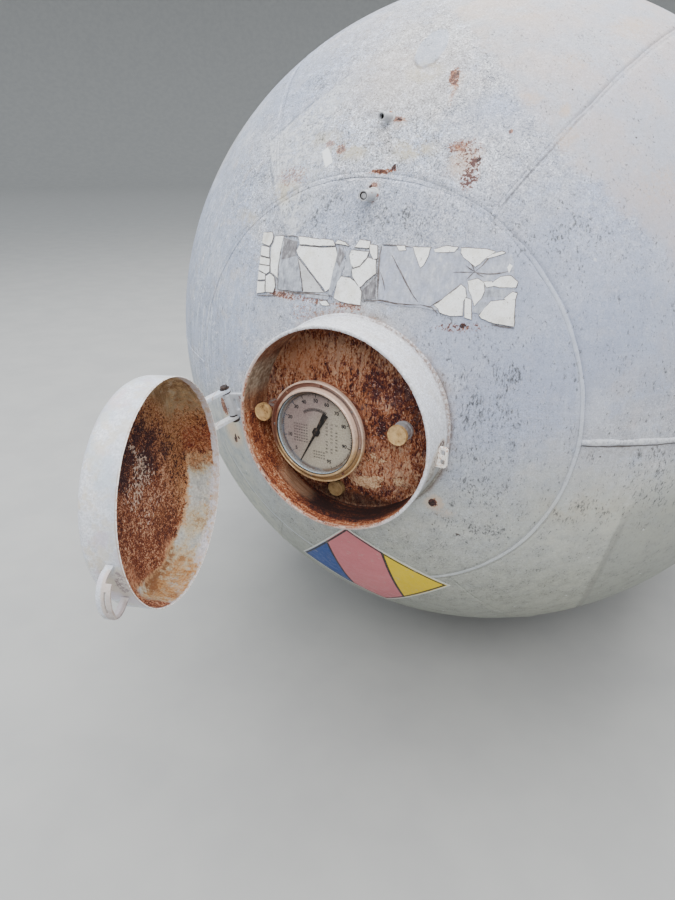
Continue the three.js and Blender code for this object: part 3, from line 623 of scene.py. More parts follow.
    # level seam on the right: pale bead with a painted highlight, dark broken line under it, a cracked line with
    # painted shadow
    a = math.radians(SEAM)
    dseam = g.M('SUBTRACT', g.times(z, math.cos(a)), g.times(x, math.sin(a)))
    dw = g.M('ADD', dseam, g.times(g.M('SUBTRACT', g.noise(17, 4, 0.6), 0.5), 0.010))
    right = g.smooth(x, 0.530, 0.56)
    ridge_highlight = g.times(g.smooth(g.M('ABSOLUTE', g.M('ADD', dseam, -0.001)), 0.013, 0.004), right)
    col = g.mix(g.times(g.times(ridge_highlight, g.smooth(fin2, 0.40, 0.56)), 0.55), col, C(224, 226, 230))
    crack_shadow = g.times(g.smooth(g.M('ABSOLUTE', g.M('ADD', dw, 0.0098)), 0.0036, 0.0012), right)
    col = g.mix(g.times(crack_shadow, 0.88), col, C(74, 66, 62))
    col = g.mix(g.times(g.times(g.smooth(g.M('ABSOLUTE', g.M('ADD', dw, 0.022)), 0.026, 0.004), right), g.smooth(fin2, 0.42, 0.66, 0.05, 0.38)), col, C(146, 140, 136))
    # dark line by the seam at upper right
    a = math.radians(SEAM + 60)
    d2 = g.M('SUBTRACT', g.times(z, math.cos(a)), g.times(x, math.sin(a)))
    d2 = g.M('ADD', d2, g.times(g.M('SUBTRACT', g.noise(20, 3, 0.6), 0.5), 0.007))
    rr = g.M('ADD', g.times(x, 0.527), g.times(z, 0.85))
    up = g.times(g.smooth(rr, 0.555, 0.585), g.smooth(rr, 0.86, 0.70, 0.35, 1.0))
    col = g.mix(g.times(g.times(g.smooth(g.M('ABSOLUTE', g.M('ADD', d2, 0.005)), 0.0040, 0.001), up), g.smooth(fin2, 0.36, 0.56, 0.35, 0.85)), col, C(98, 98, 104))
    # crown seam: painted highlight on the raised seam where it shows, painted shadow beside it low down
    o = g.M('SUBTRACT', FY, y)
    ringd = g.M('SUBTRACT', o, RV * math.cos(math.radians(CROWN)))
    show = g.most(g.smooth(x, 0.36, 0.45), g.times(g.smooth(z, -0.20, -0.32), 1.0))
    col = g.mix(g.times(g.times(g.smooth(g.M('ABSOLUTE', ringd), 0.0040, 0.0010), show), 0.42), col, C(208, 214, 224))
    col = g.mix(g.times(g.times(g.smooth(g.M('ABSOLUTE', g.M('ADD', ringd, 0.0052)), 0.0030, 0.0008), g.smooth(z, -0.12, -0.30)), 0.38), col, C(112, 112, 108))
    # faint rust-coloured stains round the marks
    halo = g.most(g.blob(Pw, 0.236, -0.205, 0.026, 0.024, 1.6, 0.2), g.times(g.blob(Pw, -0.412, -0.170, 0.040, 0.045, 1.6, 0.2), 0.9),
                  g.times(g.blob(Pw, 0.205, 0.570, 0.045, 0.045, 1.6, 0.2), 0.7), g.times(g.blob(Pw, 0.372, 0.668, 0.012, 0.020, 1.6, 0.2, 30), 0.8),
                  g.times(g.blob(Pw, 0.305, 0.690, 0.035, 0.016, 1.6, 0.2), 0.6), g.times(g.blob(Pw, 0.40, 0.615, 0.03, 0.03, 1.6, 0.2), 0.6), g.times(g.blob(Pw, 0.36, 0.78, 0.06, 0.03, 1.6, 0.2), 0.5),
                  g.times(g.blob(Pw, 0.444, 0.860, 0.05, 0.04, 1.6, 0.2), 0.6), g.times(g.blob(Pw, 0.229, 0.884, 0.05, 0.02, 1.6, 0.2), 0.5),
                  g.times(g.blob(Pw, 0.03, 0.645, 0.03, 0.02, 1.6, 0.2), 0.5), g.times(g.blob(Pw, 0.015, 0.505, 0.022, 0.03, 1.6, 0.2), 0.6), g.times(g.blob(Pw, 0.137, 0.725, 0.014, 0.05, 1.6, 0.2), 0.5),
                  g.times(g.blob(Pw, 0.26, -0.23, 0.04, 0.02, 1.6, 0.2), 0.5), g.times(g.blob(Pw, -0.44, -0.13, 0.03, 0.05, 1.6, 0.2), 0.5), g.times(g.blob(Pw, 0.59, 0.52, 0.05, 0.06, 1.6, 0.2), 0.5))
    hm = g.smooth(g.M('ADD', halo, g.times(g.M('SUBTRACT', fin2, 0.5), 0.9)), 0.25, 0.85)
    col = g.mix(g.times(hm, 0.55), col, C(204, 176, 148))
    # rust marks
    S = []
    S.append((g.times(g.blob(Pf, 0.186, 0.598, 0.022, 0.011, 1.6, 0.3), 0.80), 0.80, 0.25))
    S.append((g.blob(Pw, 0.125, 0.746, 0.011, 0.022, 1.5, 0.4, 22), 1.0, 0.8))
    S.append((g.times(g.blob(Pw, 0.137, 0.712, 0.006, 0.022, 1.5, 0.4, 16), 0.7), 0.6, 0.0))
    S.append((g.blob(Pw, 0.024, 0.549, 0.034, 0.0065, 1.5, 0.4, 5), 1.0, 0.7))
    S.append((g.blob(Pw, 0.051, 0.556, 0.007, 0.007, 1.5, 0.4), 1.0, 1.0))
    S.append((g.blob(Pw, 0.232, -0.205, 0.009, 0.012, 1.4, 0.5), 1.0, 1.0))
    S.append((g.blob(Pf, -0.404, -0.182, 0.007, 0.013, 1.4, 0.5), 1.0, 1.0))
    S.append((g.blob(Pf, -0.387, -0.172, 0.006, 0.006, 1.4, 0.5), 1.0, 1.0))
    S.append((g.blob(Pf, -0.442, -0.089, 0.015, 0.0265, 1.25, 0.8, 24), 1.0, 1.0))
    S.append((g.blob(Pf, -0.442, -0.089, 0.012, 0.022, 1.25, 0.8, 24), 1.0, 0.6))
    S.append((g.blob(Pf, -0.346, -0.045, 0.006, 0.014, 1.3, 0.7), 1.0, 1.0))
    S.append((g.blob(Pf, 0.284, 0.628, 0.005, 0.005, 1.5, 0.4), 0.9, 0.8))
    S.append((g.blob(Pw, 0.024, 0.656, 0.022, 0.006, 1.5, 0.4, -14), 0.9, 0.5))
    S.append((g.blob(Pf, 0.012, 0.516, 0.010, 0.008, 1.5, 0.4), 0.85, 0.5))
    S.append((g.blob(Pw, -0.105, 0.592, 0.012, 0.010, 1.5, 0.4), 0.8, 0.5))
    S.append((g.blob(Pw, -0.140, 0.604, 0.014, 0.007, 1.5, 0.4), 0.7, 0.3))
    S.append((g.times(g.blob(Pw, -0.24, 0.535, 0.05, 0.025, 1.5, 0.4), 0.55), 0.7, 0.2))
    S.append((g.times(g.blob(Pw, 0.270, 0.238, 0.010, 0.006, 1.5, 0.4), 0.7), 0.7, 0.7))
    band = g.M('SUBTRACT', z, g.M('SUBTRACT', 0.262, g.times(x, 0.028)))
    win = lambda a0, a1: g.times(g.smooth(x, a0 - 0.02, a0 + 0.02), g.smooth(x, a1 + 0.02, a1 - 0.02))
    crumbs = g.times(g.smooth(g.M('ABSOLUTE', g.M('ADD', band, 0.002)), 0.013, 0.003), g.most(win(-0.235, -0.15), g.times(win(-0.15, -0.05), 0.62), g.times(win(-0.04, 0.04), 0.8)))
    S.append((g.times(crumbs, 0.85), 0.95, 0.8))
    drops = g.times(g.smooth(g.M('ABSOLUTE', g.M('ADD', band, 0.034)), 0.030, 0.008), g.most(win(-0.05, 0.07), g.times(win(-0.16, -0.05), 0.5)))
    S.append((g.times(drops, 0.66), 0.85, 0.5))
    # dense fine dark speckle
    dz = g.most(g.blob(Pf, 0.226, 0.566, 0.011, 0.015, 1.6, 0.3), g.times(g.blob(Pf, 0.224, 0.545, 0.017, 0.032, 1.6, 0.3), 0.66), g.times(g.blob(Pf, 0.186, 0.598, 0.024, 0.012, 1.6, 0.2), 0.55),
                g.times(g.blob(Pw, 0.205, 0.585, 0.030, 0.026, 1.7, 0.1), 0.30), g.times(g.blob(Pw, 0.262, 0.238, 0.05, 0.010, 1.6, 0.2), 0.32))
    dn = g.M('ADD', g.noise(150, 1, 0.5), g.times(g.M('SUBTRACT', g.noise(310, 1, 0.5), 0.5), 0.7))
    dm = g.M('ADD', dn, g.times(dz, 0.37))
    vis = g.smooth(dz, 0.04, 0.20)
    col = g.mix(g.times(vis, g.smooth(dm, 0.60, 0.70, 0, 0.7)), col, C(160, 112, 86))
    col = g.mix(g.times(vis, g.smooth(dm, 0.67, 0.77, 0, 0.92)), col, C(74, 42, 42))
    col = rust_spots(g, col, Pw, S, fine)
    col = dark_spots(g, col, [g.blob(Pf, 0.232, -0.205, 0.0085, 0.0120, 1.4, 0.6), g.blob(Pf, -0.405, -0.176, 0.0050, 0.0110, 1.4, 0.6, -12), g.blob(Pf, -0.409, -0.189, 0.0035, 0.008, 1.4, 0.6, 20),
                              g.blob(Pf, -0.385, -0.173, 0.0040, 0.0050, 1.4, 0.6), g.blob(Pf, -0.346, -0.045, 0.0050, 0.0150, 1.3, 0.7), g.blob(Pf, 0.051, 0.557, 0.0050, 0.0060, 1.4, 0.6),
                              g.times(g.blob(Pf, 0.129, 0.752, 0.0050, 0.0090, 1.5, 0.4, 25), 0.62), g.times(g.blob(Pf, 0.234, 0.572, 0.0045, 0.0070, 1.4, 0.6), 0.7),
                              g.times(g.blob(Pf, 0.272, 0.238, 0.009, 0.006, 1.5, 0.4), 0.7), g.times(g.blob(Pf, 0.292, -0.300, 0.007, 0.006, 1.5, 0.4), 0.6),
                              g.times(g.blob(Pf, 0.030, 0.655, 0.010, 0.0035, 1.5, 0.4, -14), 0.7), g.times(g.blob(Pf, 0.004, 0.515, 0.005, 0.005, 1.5, 0.4), 0.7)])
    # rust washed out round the hood base
    hd = g.V('LENGTH', g.V('MULTIPLY', g.V('SUBTRACT', Pf, (HX, 0, AZ + HZ)), (1, 0, 1)))
    around = g.times(g.smooth(hd, 0.282, 0.258), g.smooth(g.noise(16, 3, 0.6), 0.42, 0.62))
    col = g.mix(g.times(around, 0.50), col, C(150, 132, 116))
    # brown edge and painted shadow at the foot of the hood, right and lower side
    foot = g.times(g.smooth(hd, 0.268, 0.257), g.smooth(g.M('SUBTRACT', g.times(x, 0.8), g.times(z, 0.6)), 0.02, 0.16))
    col = g.mix(g.times(foot, g.smooth(fin2, 0.36, 0.55, 0.35, 0.85)), col, C(96, 82, 72))
    # white flake
    q = g.V('SUBTRACT', Pf, (-0.137, 0, AZ + 0.577))
    u = g.M('ABSOLUTE', g.V('DOT_PRODUCT', q, (0.62, 0, -0.78)))
    v = g.M('ABSOLUTE', g.V('DOT_PRODUCT', q, (0.78, 0, 0.62)))
    fl = g.times(g.smooth(u, 0.023, 0.020), g.smooth(v, 0.012, 0.009))
    col = g.mix(fl, col, C(238, 240, 242))
    rough = g.smooth(fin2, 0.3, 0.7, 0.52, 0.74)
    h = g.M('ADD', g.times(fin2, 0.6), g.times(fine, 0.4))
    return g.done(col, rough, None, g.bump(h, 0.0009, 0.6))


# ---- the rest of the vessel
def mat_body_paint():
    g = NG("vessel_paint", 0.62)
    col, fine, fin2 = paint_base(g, streak=0.16, craze=0.6)
    x, y, zz = g.sep()
    z = g.M('SUBTRACT', zz, AZ)
    Pw = g.V('ADD', g.P, g.V('ADD', g.warp(5, 0.03), g.warp(30, 0.008)))
    wide = g.noise(2.2, 4, 0.6)
    col = g.mix(g.times(g.smooth(g.M('ADD', z, g.times(g.M('SUBTRACT', wide, 0.5), 0.4)), 0.45, 0.85), 0.55), col, g.mix(g.smooth(g.noise(6, 4), 0.4, 0.6), C(200, 184, 168), C(186, 186, 188)))
    # painted shade: darker and greener below
    low = g.smooth(g.M('ADD', z, g.times(g.M('SUBTRACT', wide, 0.5), 0.35)), -0.10, -0.80)
    col = g.mix(g.times(low, 0.72), col, g.mix(g.smooth(g.noise(20, 4), 0.4, 0.6), C(142, 143, 131), C(122, 122, 112)))
    # runs down from the top fittings and the seams
    run = g.noise(1.0, 4, 0.6, g.V('MULTIPLY', g.V('ADD', g.P, g.warp(6, 0.01)), (26, 26, 1.6)))
    col = g.mix(g.times(g.smooth(run, 0.56, 0.70), g.smooth(g.noise(4, 3), 0.42, 0.62, 0, 0.42)), col, C(142, 122, 104))
    n1, n2 = g.noise(1.0, 4, 0.72, g.V('MULTIPLY', g.V('ADD', g.P, g.warp(60, 0.004)), (190, 190, 120))), g.noise(5, 4, 0.62)
    sp = g.M('ADD', n1, g.times(g.M('SUBTRACT', n2, 0.5), 0.75))
    col = g.mix(g.smooth(sp, 0.66, 0.76, 0, 0.70), col, C(72, 76, 80))
    vz, vc = g.vor(2.3, Pw), g.sep(g.vor(2.3, Pw, color=True))
    m1 = g.times(g.smooth(vz, 0.10, 0.02), g.smooth(vc[0], 0.55, 0.6))
    vz2, vc2 = g.vor(9.0, Pw), g.sep(g.vor(9.0, Pw, color=True))
    m2 = g.times(g.smooth(vz2, 0.12, 0.02), g.smooth(vc2[1], 0.80, 0.84))
    near = g.most(*[g.smooth(g.V('LENGTH', g.V('MULTIPLY', g.V('SUBTRACT', Pw, p), k)), 1.1, 0.4) for p, k in (
        ((0, SADDLES[0] + 0.35, AZ + 1.06), (1 / 0.16, 1 / 0.24, 1 / 0.10)), ((0, SADDLES[1] - 0.35, AZ + 1.06), (1 / 0.16, 1 / 0.24, 1 / 0.10)),
        ((0, MID, AZ + 1.06), (1 / 0.13, 1 / 0.13, 1 / 0.10)))])
    halo = g.times(g.smooth(vz, 0.20, 0.03), g.smooth(vc[0], 0.55, 0.6))
    col = g.mix(g.times(halo, 0.40), col, C(198, 170, 142))
    col = rust_spots(g, col, Pw, [(m1, 0.95, 0.9), (m2, 0.9, 0.8), (g.times(near, 0.50), 0.8, 0.4)], fine)
    rough = g.smooth(fin2, 0.3, 0.7, 0.52, 0.74)
    return g.done(col, rough, None, g.bump(g.M('ADD', g.times(fin2, 0.6), g.times(fine, 0.4)), 0.0009, 0.6))


def mat_weld(name, rustiness, base=C(188, 194, 204)):
    g = NG(name, 0.6)
    n, f, m = g.noise(30, 5, 0.65), g.noise(260, 3, 0.6), g.noise(90, 4, 0.68)
    col = g.mix(g.smooth(n, 0.40, 0.64, 0, 0.7), base, C(160, 166, 176))
    col = g.shade(col, g.M('ADD', 1.0, g.M('ADD', g.times(g.M('SUBTRACT', f, 0.5), 0.55), g.times(g.M('SUBTRACT', m, 0.5), 0.55))))
    r = g.smooth(g.M('ADD', n, g.times(g.M('SUBTRACT', m, 0.5), 0.7)), 0.64 - rustiness, 0.74 - rustiness)
    rc, _, _ = rust_color(g)
    col = g.mix(g.times(r, 0.9), col, rc)
    # painted shade: darker and greener below
    z = g.M('SUBTRACT', g.sep()[2], AZ)
    col = g.mix(g.smooth(z, -0.1, -0.8, 0, 0.5), col, C(128, 130, 122))
    return g.done(col, g.smooth(n, 0.3, 0.7, 0.5, 0.75), None, g.bump(g.M('ADD', f, m), 0.0008, 0.6))


def mat_support():
    g = NG("support_paint", 0.66)
    col, fine, fin2 = paint_base(g, streak=0.1, craze=0.4)
    x, y, z = g.sep()
    col = g.mix(0.40, col, C(138, 142, 146))
    n = g.noise(14, 6, 0.68)
    rc, _, _ = rust_color(g)
    m = g.smooth(g.M('ADD', g.M('ADD', n, g.times(g.M('SUBTRACT', fin2, 0.5), 0.5)), g.smooth(z, 0.16, 0.0, 0, 0.13)), 0.585, 0.645)
    col = g.mix(g.times(m, 0.92), col, rc)
    dirt = g.smooth(g.M('ADD', z, g.times(g.M('SUBTRACT', n, 0.5), 0.2)), 0.20, 0.0)
    col = g.mix(g.times(dirt, 0.50), col, C(98, 86, 70))
    return g.done(col, g.smooth(fin2, 0.3, 0.7, 0.55, 0.82), None, g.bump(g.M('ADD', fin2, g.times(m, -0.5)), 0.0010, 0.65))


# ---- hood outside
def mat_hood_paint():
    g = NG("hood_paint", 0.55)
    col, fine, fin2 = paint_base(g, streak=0.16, grain=3.0, craze=1.0)
    col = g.mix(0.58, col, C(243, 244, 250))
    x, y, zz = g.sep()
    z = g.M('SUBTRACT', zz, AZ)
    o = g.M('SUBTRACT', FY, y)
    Pw = g.V('ADD', g.P, g.V('ADD', g.warp(16, 0.010), g.warp(60, 0.004)))
    q0 = g.V('MULTIPLY', g.V('SUBTRACT', g.P, (HX, 0, AZ + HZ)), (1, 0, 1))
    rr = g.V('LENGTH', q0)
    q = g.V('MULTIPLY', g.V('SUBTRACT', Pw, (HX, 0, AZ + HZ)), (1, 0, 1))
    qx, qy, qz = g.sep(q)
    n, sp = g.noise(24, 5, 0.66), g.noise(150, 4, 0.7)
    rc, _, _ = rust_color(g)
    col = g.shade(col, g.M('ADD', 1.0, g.times(g.M('SUBTRACT', sp, 0.5), 0.5)))
    col = g.mix(g.smooth(n, 0.50, 0.64, 0, 0.28), col, C(196, 188, 176))
    # rim: pinkish worn edge at the left and below, brown chips
    lowl = g.smooth(g.M('ADD', g.times(qz, -0.75), g.times(qx, -0.75)), -0.06, 0.10)
    rim = g.times(g.smooth(rr, 0.2530, 0.2505), g.smooth(o, 1.1440, 1.1475))
    col = g.mix(g.times(g.times(rim, lowl), 0.75), col, g.mix(g.smooth(sp, 0.38, 0.60), C(214, 188, 170), C(178, 132, 108)))
    inn = g.times(g.smooth(rr, 0.2488, 0.2458), g.smooth(o, 1.140, 1.1465))
    chip = g.smooth(g.M('ADD', g.M('ADD', n, g.times(lowl, 0.07)), g.times(g.M('SUBTRACT', sp, 0.5), 0.6)), 0.52, 0.60)
    col = g.mix(g.times(inn, chip), col, rc)
    vz, vc = g.vor(36, Pw), g.sep(g.vor(36, Pw, color=True))
    rim2 = g.smooth(o, 1.125, 1.140)
    col = g.mix(g.times(g.times(g.smooth(vz, 0.20, 0.08), g.smooth(vc[0], 0.66, 0.72)), rim2), col, C(118, 76, 60))
    runs = g.times(g.smooth(qz, -0.20, -0.245), g.smooth(g.M('ABSOLUTE', qx), 0.10, 0.03))
    col = g.mix(g.times(g.times(runs, g.smooth(n, 0.42, 0.60)), 0.55), col, rc)
    # brown thin edge where the hood meets the head, right side, darkened further with painted shadow
    base = g.times(g.smooth(o, 1.050, 1.036), g.smooth(g.M('ADD', qx, g.times(n, 0.08)), 0.02, 0.12))
    col = g.mix(g.times(g.times(base, g.smooth(sp, 0.40, 0.56, 0.2, 1.0)), 0.75), col, C(128, 98, 80))
    # chips round the staple
    G = lambda a, b, c, r1, r2, r3: g.smooth(g.V('LENGTH', g.V('MULTIPLY', g.V('SUBTRACT', Pw, (a, FY - c, AZ + b)), (1 / r1, 1 / r3, 1 / r2))), 1.5, 0.4)
    st = g.most(g.times(G(0.268, -0.020, 1.080, 0.020, 0.016, 0.028), 1.0), g.times(G(0.262, -0.055, 1.10, 0.020, 0.045, 0.040), 0.75), g.times(G(0.255, -0.095, 1.10, 0.022, 0.016, 0.030), 0.85))
    m = g.smooth(g.M('ADD', st, g.times(g.M('SUBTRACT', sp, 0.5), 2.4)), 0.78, 0.98)
    beigeish = g.smooth(g.M('ADD', st, g.times(g.M('SUBTRACT', n, 0.5), 0.8)), 0.25, 0.7)
    col = g.mix(g.times(beigeish, 0.55), col, C(206, 190, 168))
    col = g.mix(g.times(m, 0.92), col, C(84, 54, 44))
    col = g.mix(g.times(g.times(g.smooth(vz, 0.13, 0.06), g.smooth(vc[1], 0.93, 0.95)), 0.9), col, C(120, 84, 66))
    # painted shade on the underside of the hood just behind the rim, greenish grey
    under = g.times(g.smooth(g.M('ADD', o, g.times(g.M('SUBTRACT', n, 0.5), 0.02)), 1.147, 1.128), g.smooth(g.M('ADD', qz, g.times(g.M('SUBTRACT', n, 0.5), 0.06)), 0.0, -0.14, 0, 0.85))
    col = g.mix(under, col, g.mix(g.smooth(sp, 0.38, 0.62), C(132, 130, 116), C(116, 114, 106)))
    return g.done(col, g.smooth(fin2, 0.3, 0.7, 0.45, 0.65), None, g.bump(g.M('ADD', g.times(fin2, 0.6), g.times(fine, 0.4)), 0.0006, 0.5))


# ---- rust inside the hood: wall and head surface
def mat_hood_wall():
    g = NG("hood_wall_rust", 0.8, spec=0.25)
    Pw = g.V('ADD', g.P, g.V('ADD', g.warp(14, 0.012), g.warp(55, 0.005)))
    q = g.V('SUBTRACT', Pw, (HX, 0, AZ + HZ))
    qx, qy, qz = g.sep(q)
    o = g.M('SUBTRACT', FY, g.sep()[1])
    az = g.M('ARCTAN2', qz, qx)
    sv = g.t.nodes.new('ShaderNodeCombineXYZ')
    g.put(sv.inputs[0], g.times(az, 1.5))
    g.put(sv.inputs[1], g.times(o, 75.0))
    st = g.noise(1.0, 5, 0.66, sv.outputs[0], dist=0.5)
    A = lambda deg, w, s_=0.5: g.smooth(g.M('ABSOLUTE', g.M('SUBTRACT', az, math.radians(deg))), math.radians(w * (1 + s_)), math.radians(w * (1 - s_)))
    f = rust_field(g, Pw, (12, 48, 170, 340), (0.45, 0.5, 0.7, 0.5))
    f = g.M('ADD', f, g.times(g.M('SUBTRACT', st, 0.5), 1.15))
    f = g.M('ADD', f, 0.03)
    # bot: water stain and painted shade low and deep inside the hood
    bot = g.times(A(-80, 40), g.smooth(o, 1.142, 1.090))
    f = g.M('SUBTRACT', f, g.times(bot, 0.34))
    topd = g.most(A(110, 45), g.times(A(60, 40), 0.9))
    f = g.M('SUBTRACT', f, g.times(topd, 0.03))
    f = g.M('SUBTRACT', f, g.times(A(172, 26), 0.02))
    col = rust_ramp(g, f)
    col = g.mix(g.times(A(172, 26), 0.40), col, g.mix(g.smooth(st, 0.4, 0.6), C(112, 86, 66), C(140, 112, 88)))
    col = g.mix(g.times(topd, 0.50), col, g.mix(g.smooth(g.noise(60, 4), 0.4, 0.6), C(150, 126, 106), C(116, 86, 70)))
    col = g.mix(g.times(g.times(A(157, 11), g.smooth(o, 1.03, 1.05)), g.smooth(st, 0.36, 0.52, 0.45, 0.92)), col, g.mix(g.smooth(g.noise(90, 3), 0.38, 0.62), C(186, 172, 152), C(140, 122, 104)))
    pale = g.times(g.times(A(-126, 12), g.smooth(o, 1.105, 1.088)), g.smooth(o, 1.045, 1.058))
    col = g.mix(g.times(pale, g.smooth(st, 0.36, 0.54, 0.35, 0.85)), col, g.mix(g.smooth(st, 0.44, 0.60), C(196, 160, 130), C(148, 110, 84)))
    lipr = g.times(g.smooth(o, 1.140, 1.1495), g.smooth(g.noise(40, 4, 0.65), 0.38, 0.52))
    col = g.mix(g.times(lipr, 0.72), col, C(206, 172, 150))
    # water stain and painted shade at the bottom of the hood wall
    col = g.mix(g.times(bot, 0.72), col, C(40, 27, 24))
    return g.done(col, 0.82, None, g.bump(f, 0.0018, 0.7))


def mat_hood_back():
    g = NG("hood_back_rust", 0.84, spec=0.25)
    Pw = g.V('ADD', g.P, g.V('ADD', g.warp(13, 0.018), g.warp(60, 0.008)))
    Ps = g.V('ADD', g.P, g.warp(40, 0.004))
    B = lambda *a: g.blob(Pw, *a, 1.7, 0.2)
    Pf = g.V('MULTIPLY', g.V('ADD', g.P, g.warp(26, 0.006)), (1.25, 1.0, 0.52))
    f = rust_field(g, Pf, (11, 40, 165, 340), (0.85, 0.80, 1.10, 1.15))
    f = g.M('ADD', f, g.times(g.M('SUBTRACT', g.noise(84, 3, 0.62, Pf), 0.5), 0.85))
    fib = g.noise(1.0, 2, 0.6, g.V('MULTIPLY', Pw, (190, 190, 38)))
    f = g.M('ADD', f, g.times(g.M('SUBTRACT', fib, 0.5), g.smooth(g.M('SUBTRACT', g.sep()[2], AZ), -0.10, 0.08, 0.25, 0.95)))
    drip = g.noise(1.0, 4, 0.64, g.V('MULTIPLY', Pw, (75, 75, 9)))
    f = g.M('ADD', f, g.times(g.M('SUBTRACT', drip, 0.5), 0.60))
    dark = g.most(B(0.098, 0.088, 0.034, 0.036), g.times(B(0.150, 0.080, 0.045, 0.045), 0.95), g.times(B(0.112, -0.015, 0.024, 0.036), 1.0), g.times(B(0.020, 0.080, 0.012, 0.035), 0.30),
                  g.times(B(0.055, 0.182, 0.05, 0.010), 0.5), g.times(B(-0.03, 0.195, 0.12, 0.016), 0.6), g.times(B(0.205, 0.0, 0.03, 0.06), 0.55), g.times(B(0.125, -0.190, 0.020, 0.016), 0.85),
                  g.times(B(0.08, -0.215, 0.08, 0.020), 1.0), g.times(B(0.15, 0.03, 0.04, 0.03), 0.5), g.times(B(-0.02, -0.19, 0.05, 0.03), 0.8), g.times(B(-0.15, 0.02, 0.05, 0.05), 0.3))
    pale = g.most(g.times(B(0.068, -0.172, 0.030, 0.030), 1.0), g.times(B(0.160, -0.158, 0.026, 0.022), 0.55), g.times(B(0.100, -0.070, 0.030, 0.030), 0.40), g.times(B(0.115, -0.125, 0.060, 0.035), 0.50),
                  g.times(B(-0.10, 0.06, 0.05, 0.06), 0.22), g.times(B(0.03, -0.165, 0.03, 0.02), 0.5), g.times(B(-0.055, 0.160, 0.085, 0.034), 0.62), g.times(B(0.015, 0.150, 0.030, 0.030), 0.45), g.times(B(-0.095, 0.115, 0.045, 0.045), 0.45))
    f = g.M('SUBTRACT', f, g.times(dark, 0.40))
    f = g.M('ADD', f, g.times(pale, 0.23))
    f = g.M('ADD', f, 0.092)
    col = rust_hues(g, rust_ramp(g, f), Pw, 0.8)
    # hue drifts: orange, maroon
    hue = g.noise(9, 4, 0.62, Pw)
    org = g.most(B(-0.110, 0.125, 0.08, 0.05), g.times(B(0.060, 0.040, 0.016, 0.070), 1.0), g.times(B(0.10, -0.09, 0.06, 0.03), 0.7), g.times(B(0.03, 0.12, 0.05, 0.04), 0.5))
    col = g.mix(g.times(g.times(org, g.smooth(f, 0.38, 0.52)), 0.62), col, g.mix(g.noise(120, 3), C(148, 84, 46), C(186, 116, 72)))
    mar = g.most(g.times(B(0.15, 0.09, 0.07, 0.07), 0.8), g.smooth(hue, 0.47, 0.36, 0, 0.6))
    col = g.mix(g.times(g.times(mar, g.smooth(f, 0.58, 0.42)), 0.50), col, C(78, 38, 44))
    col = g.mix(g.times(g.smooth(f, 0.40, 0.62), 0.22), col, C(170, 136, 112))
    # ragged cream crust, low right, with a darker broken edge
    sp = g.noise(170, 4, 0.72)
    cz = g.most(g.blob(Ps, 0.072, -0.174, 0.042, 0.019, 1.6, 0.3), g.times(g.blob(Ps, 0.098, -0.160, 0.020, 0.010, 1.6, 0.3), 0.8), g.times(g.blob(Ps, 0.158, -0.156, 0.024, 0.012, 1.6, 0.3), 0.62), g.times(g.blob(Ps, 0.100, -0.098, 0.036, 0.020, 1.6, 0.2), 0.50), g.times(g.blob(Ps, -0.030, -0.150, 0.030, 0.010, 1.6, 0.3), 0.45))
    cv = g.M('ADD', g.times(cz, 1.15), g.times(g.M('SUBTRACT', g.noise(62, 4, 0.68, Ps), 0.5), 2.1))
    cv = g.M('ADD', cv, g.times(g.M('SUBTRACT', sp, 0.5), 0.7))
    on = g.smooth(cz, 0.04, 0.25)
    col = g.mix(g.times(g.times(g.smooth(cv, 0.46, 0.52), g.smooth(cv, 0.62, 0.56)), g.times(on, 0.7)), col, C(74, 40, 32))
    col = g.mix(g.times(g.times(g.smooth(cv, 0.58, 0.66), on), 0.85), col, g.mix(g.smooth(sp, 0.36, 0.62), C(176, 132, 96), C(226, 198, 162)))
    # two pale drips
    pl = g.most(g.blob(Ps, -0.010, 0.140, 0.0050, 0.055, 1.4, 0.5, 3), g.times(g.blob(Ps, -0.006, 0.182, 0.012, 0.016, 1.5, 0.4), 0.9), g.times(g.blob(Ps, 0.052, 0.125, 0.0045, 0.050, 1.4, 0.5, -3), 0.8), g.times(g.blob(Ps, 0.050, 0.172, 0.010, 0.014, 1.5, 0.4), 0.7))
    pm = g.smooth(g.M('ADD', pl, g.times(g.M('SUBTRACT', sp, 0.5), 1.6)), 0.40, 0.85)
    col = g.mix(g.times(pm, 0.72), col, g.mix(sp, C(198, 158, 128), C(168, 132, 108)))
    # pale pink crumbs, denser in the dark places
    crumb = g.M('ADD', g.noise(230, 3, 0.7), g.times(dark, 0.03))
    col = g.mix(g.smooth(crumb, 0.66, 0.72, 0, 0.85), col, C(204, 168, 156))
    col = g.mix(g.smooth(g.noise(110, 3, 0.7), 0.66, 0.72, 0, 0.85), col, C(196, 166, 150))
    # water stain and painted shade along the bottom inside the hood
    bot = g.smooth(g.M('ADD', g.sep(Pw)[2], -AZ), -0.200, -0.232)
    col = g.mix(g.times(bot, 0.75), col, C(48, 33, 28))
    return g.done(col, 0.84, None, g.bump(f, 0.0024, 0.85))


# ---- lid: the rest place is turned back to the closed place first
AXW = Vector((HINGE_A[0], -HINGE_A[2], HINGE_A[1])).normalized()
HPW = W(*HINGE_P)
SWING = Matrix.Translation(HPW) @ Matrix.Rotation(math.radians(LID_OPEN), 4, AXW) @ Matrix.Translation(-HPW)
UNSWING = SWING.inverted()


def closed_coords(g):
    n = g.t.nodes.new('ShaderNodeMapping')
    n.vector_type = 'POINT'
    n.inputs['Location'].default_value = UNSWING.to_translation()
    n.inputs['Rotation'].default_value = UNSWING.to_euler('XYZ')
    g.t.links.new(g.P, n.inputs['Vector'])
    return n.outputs[0]


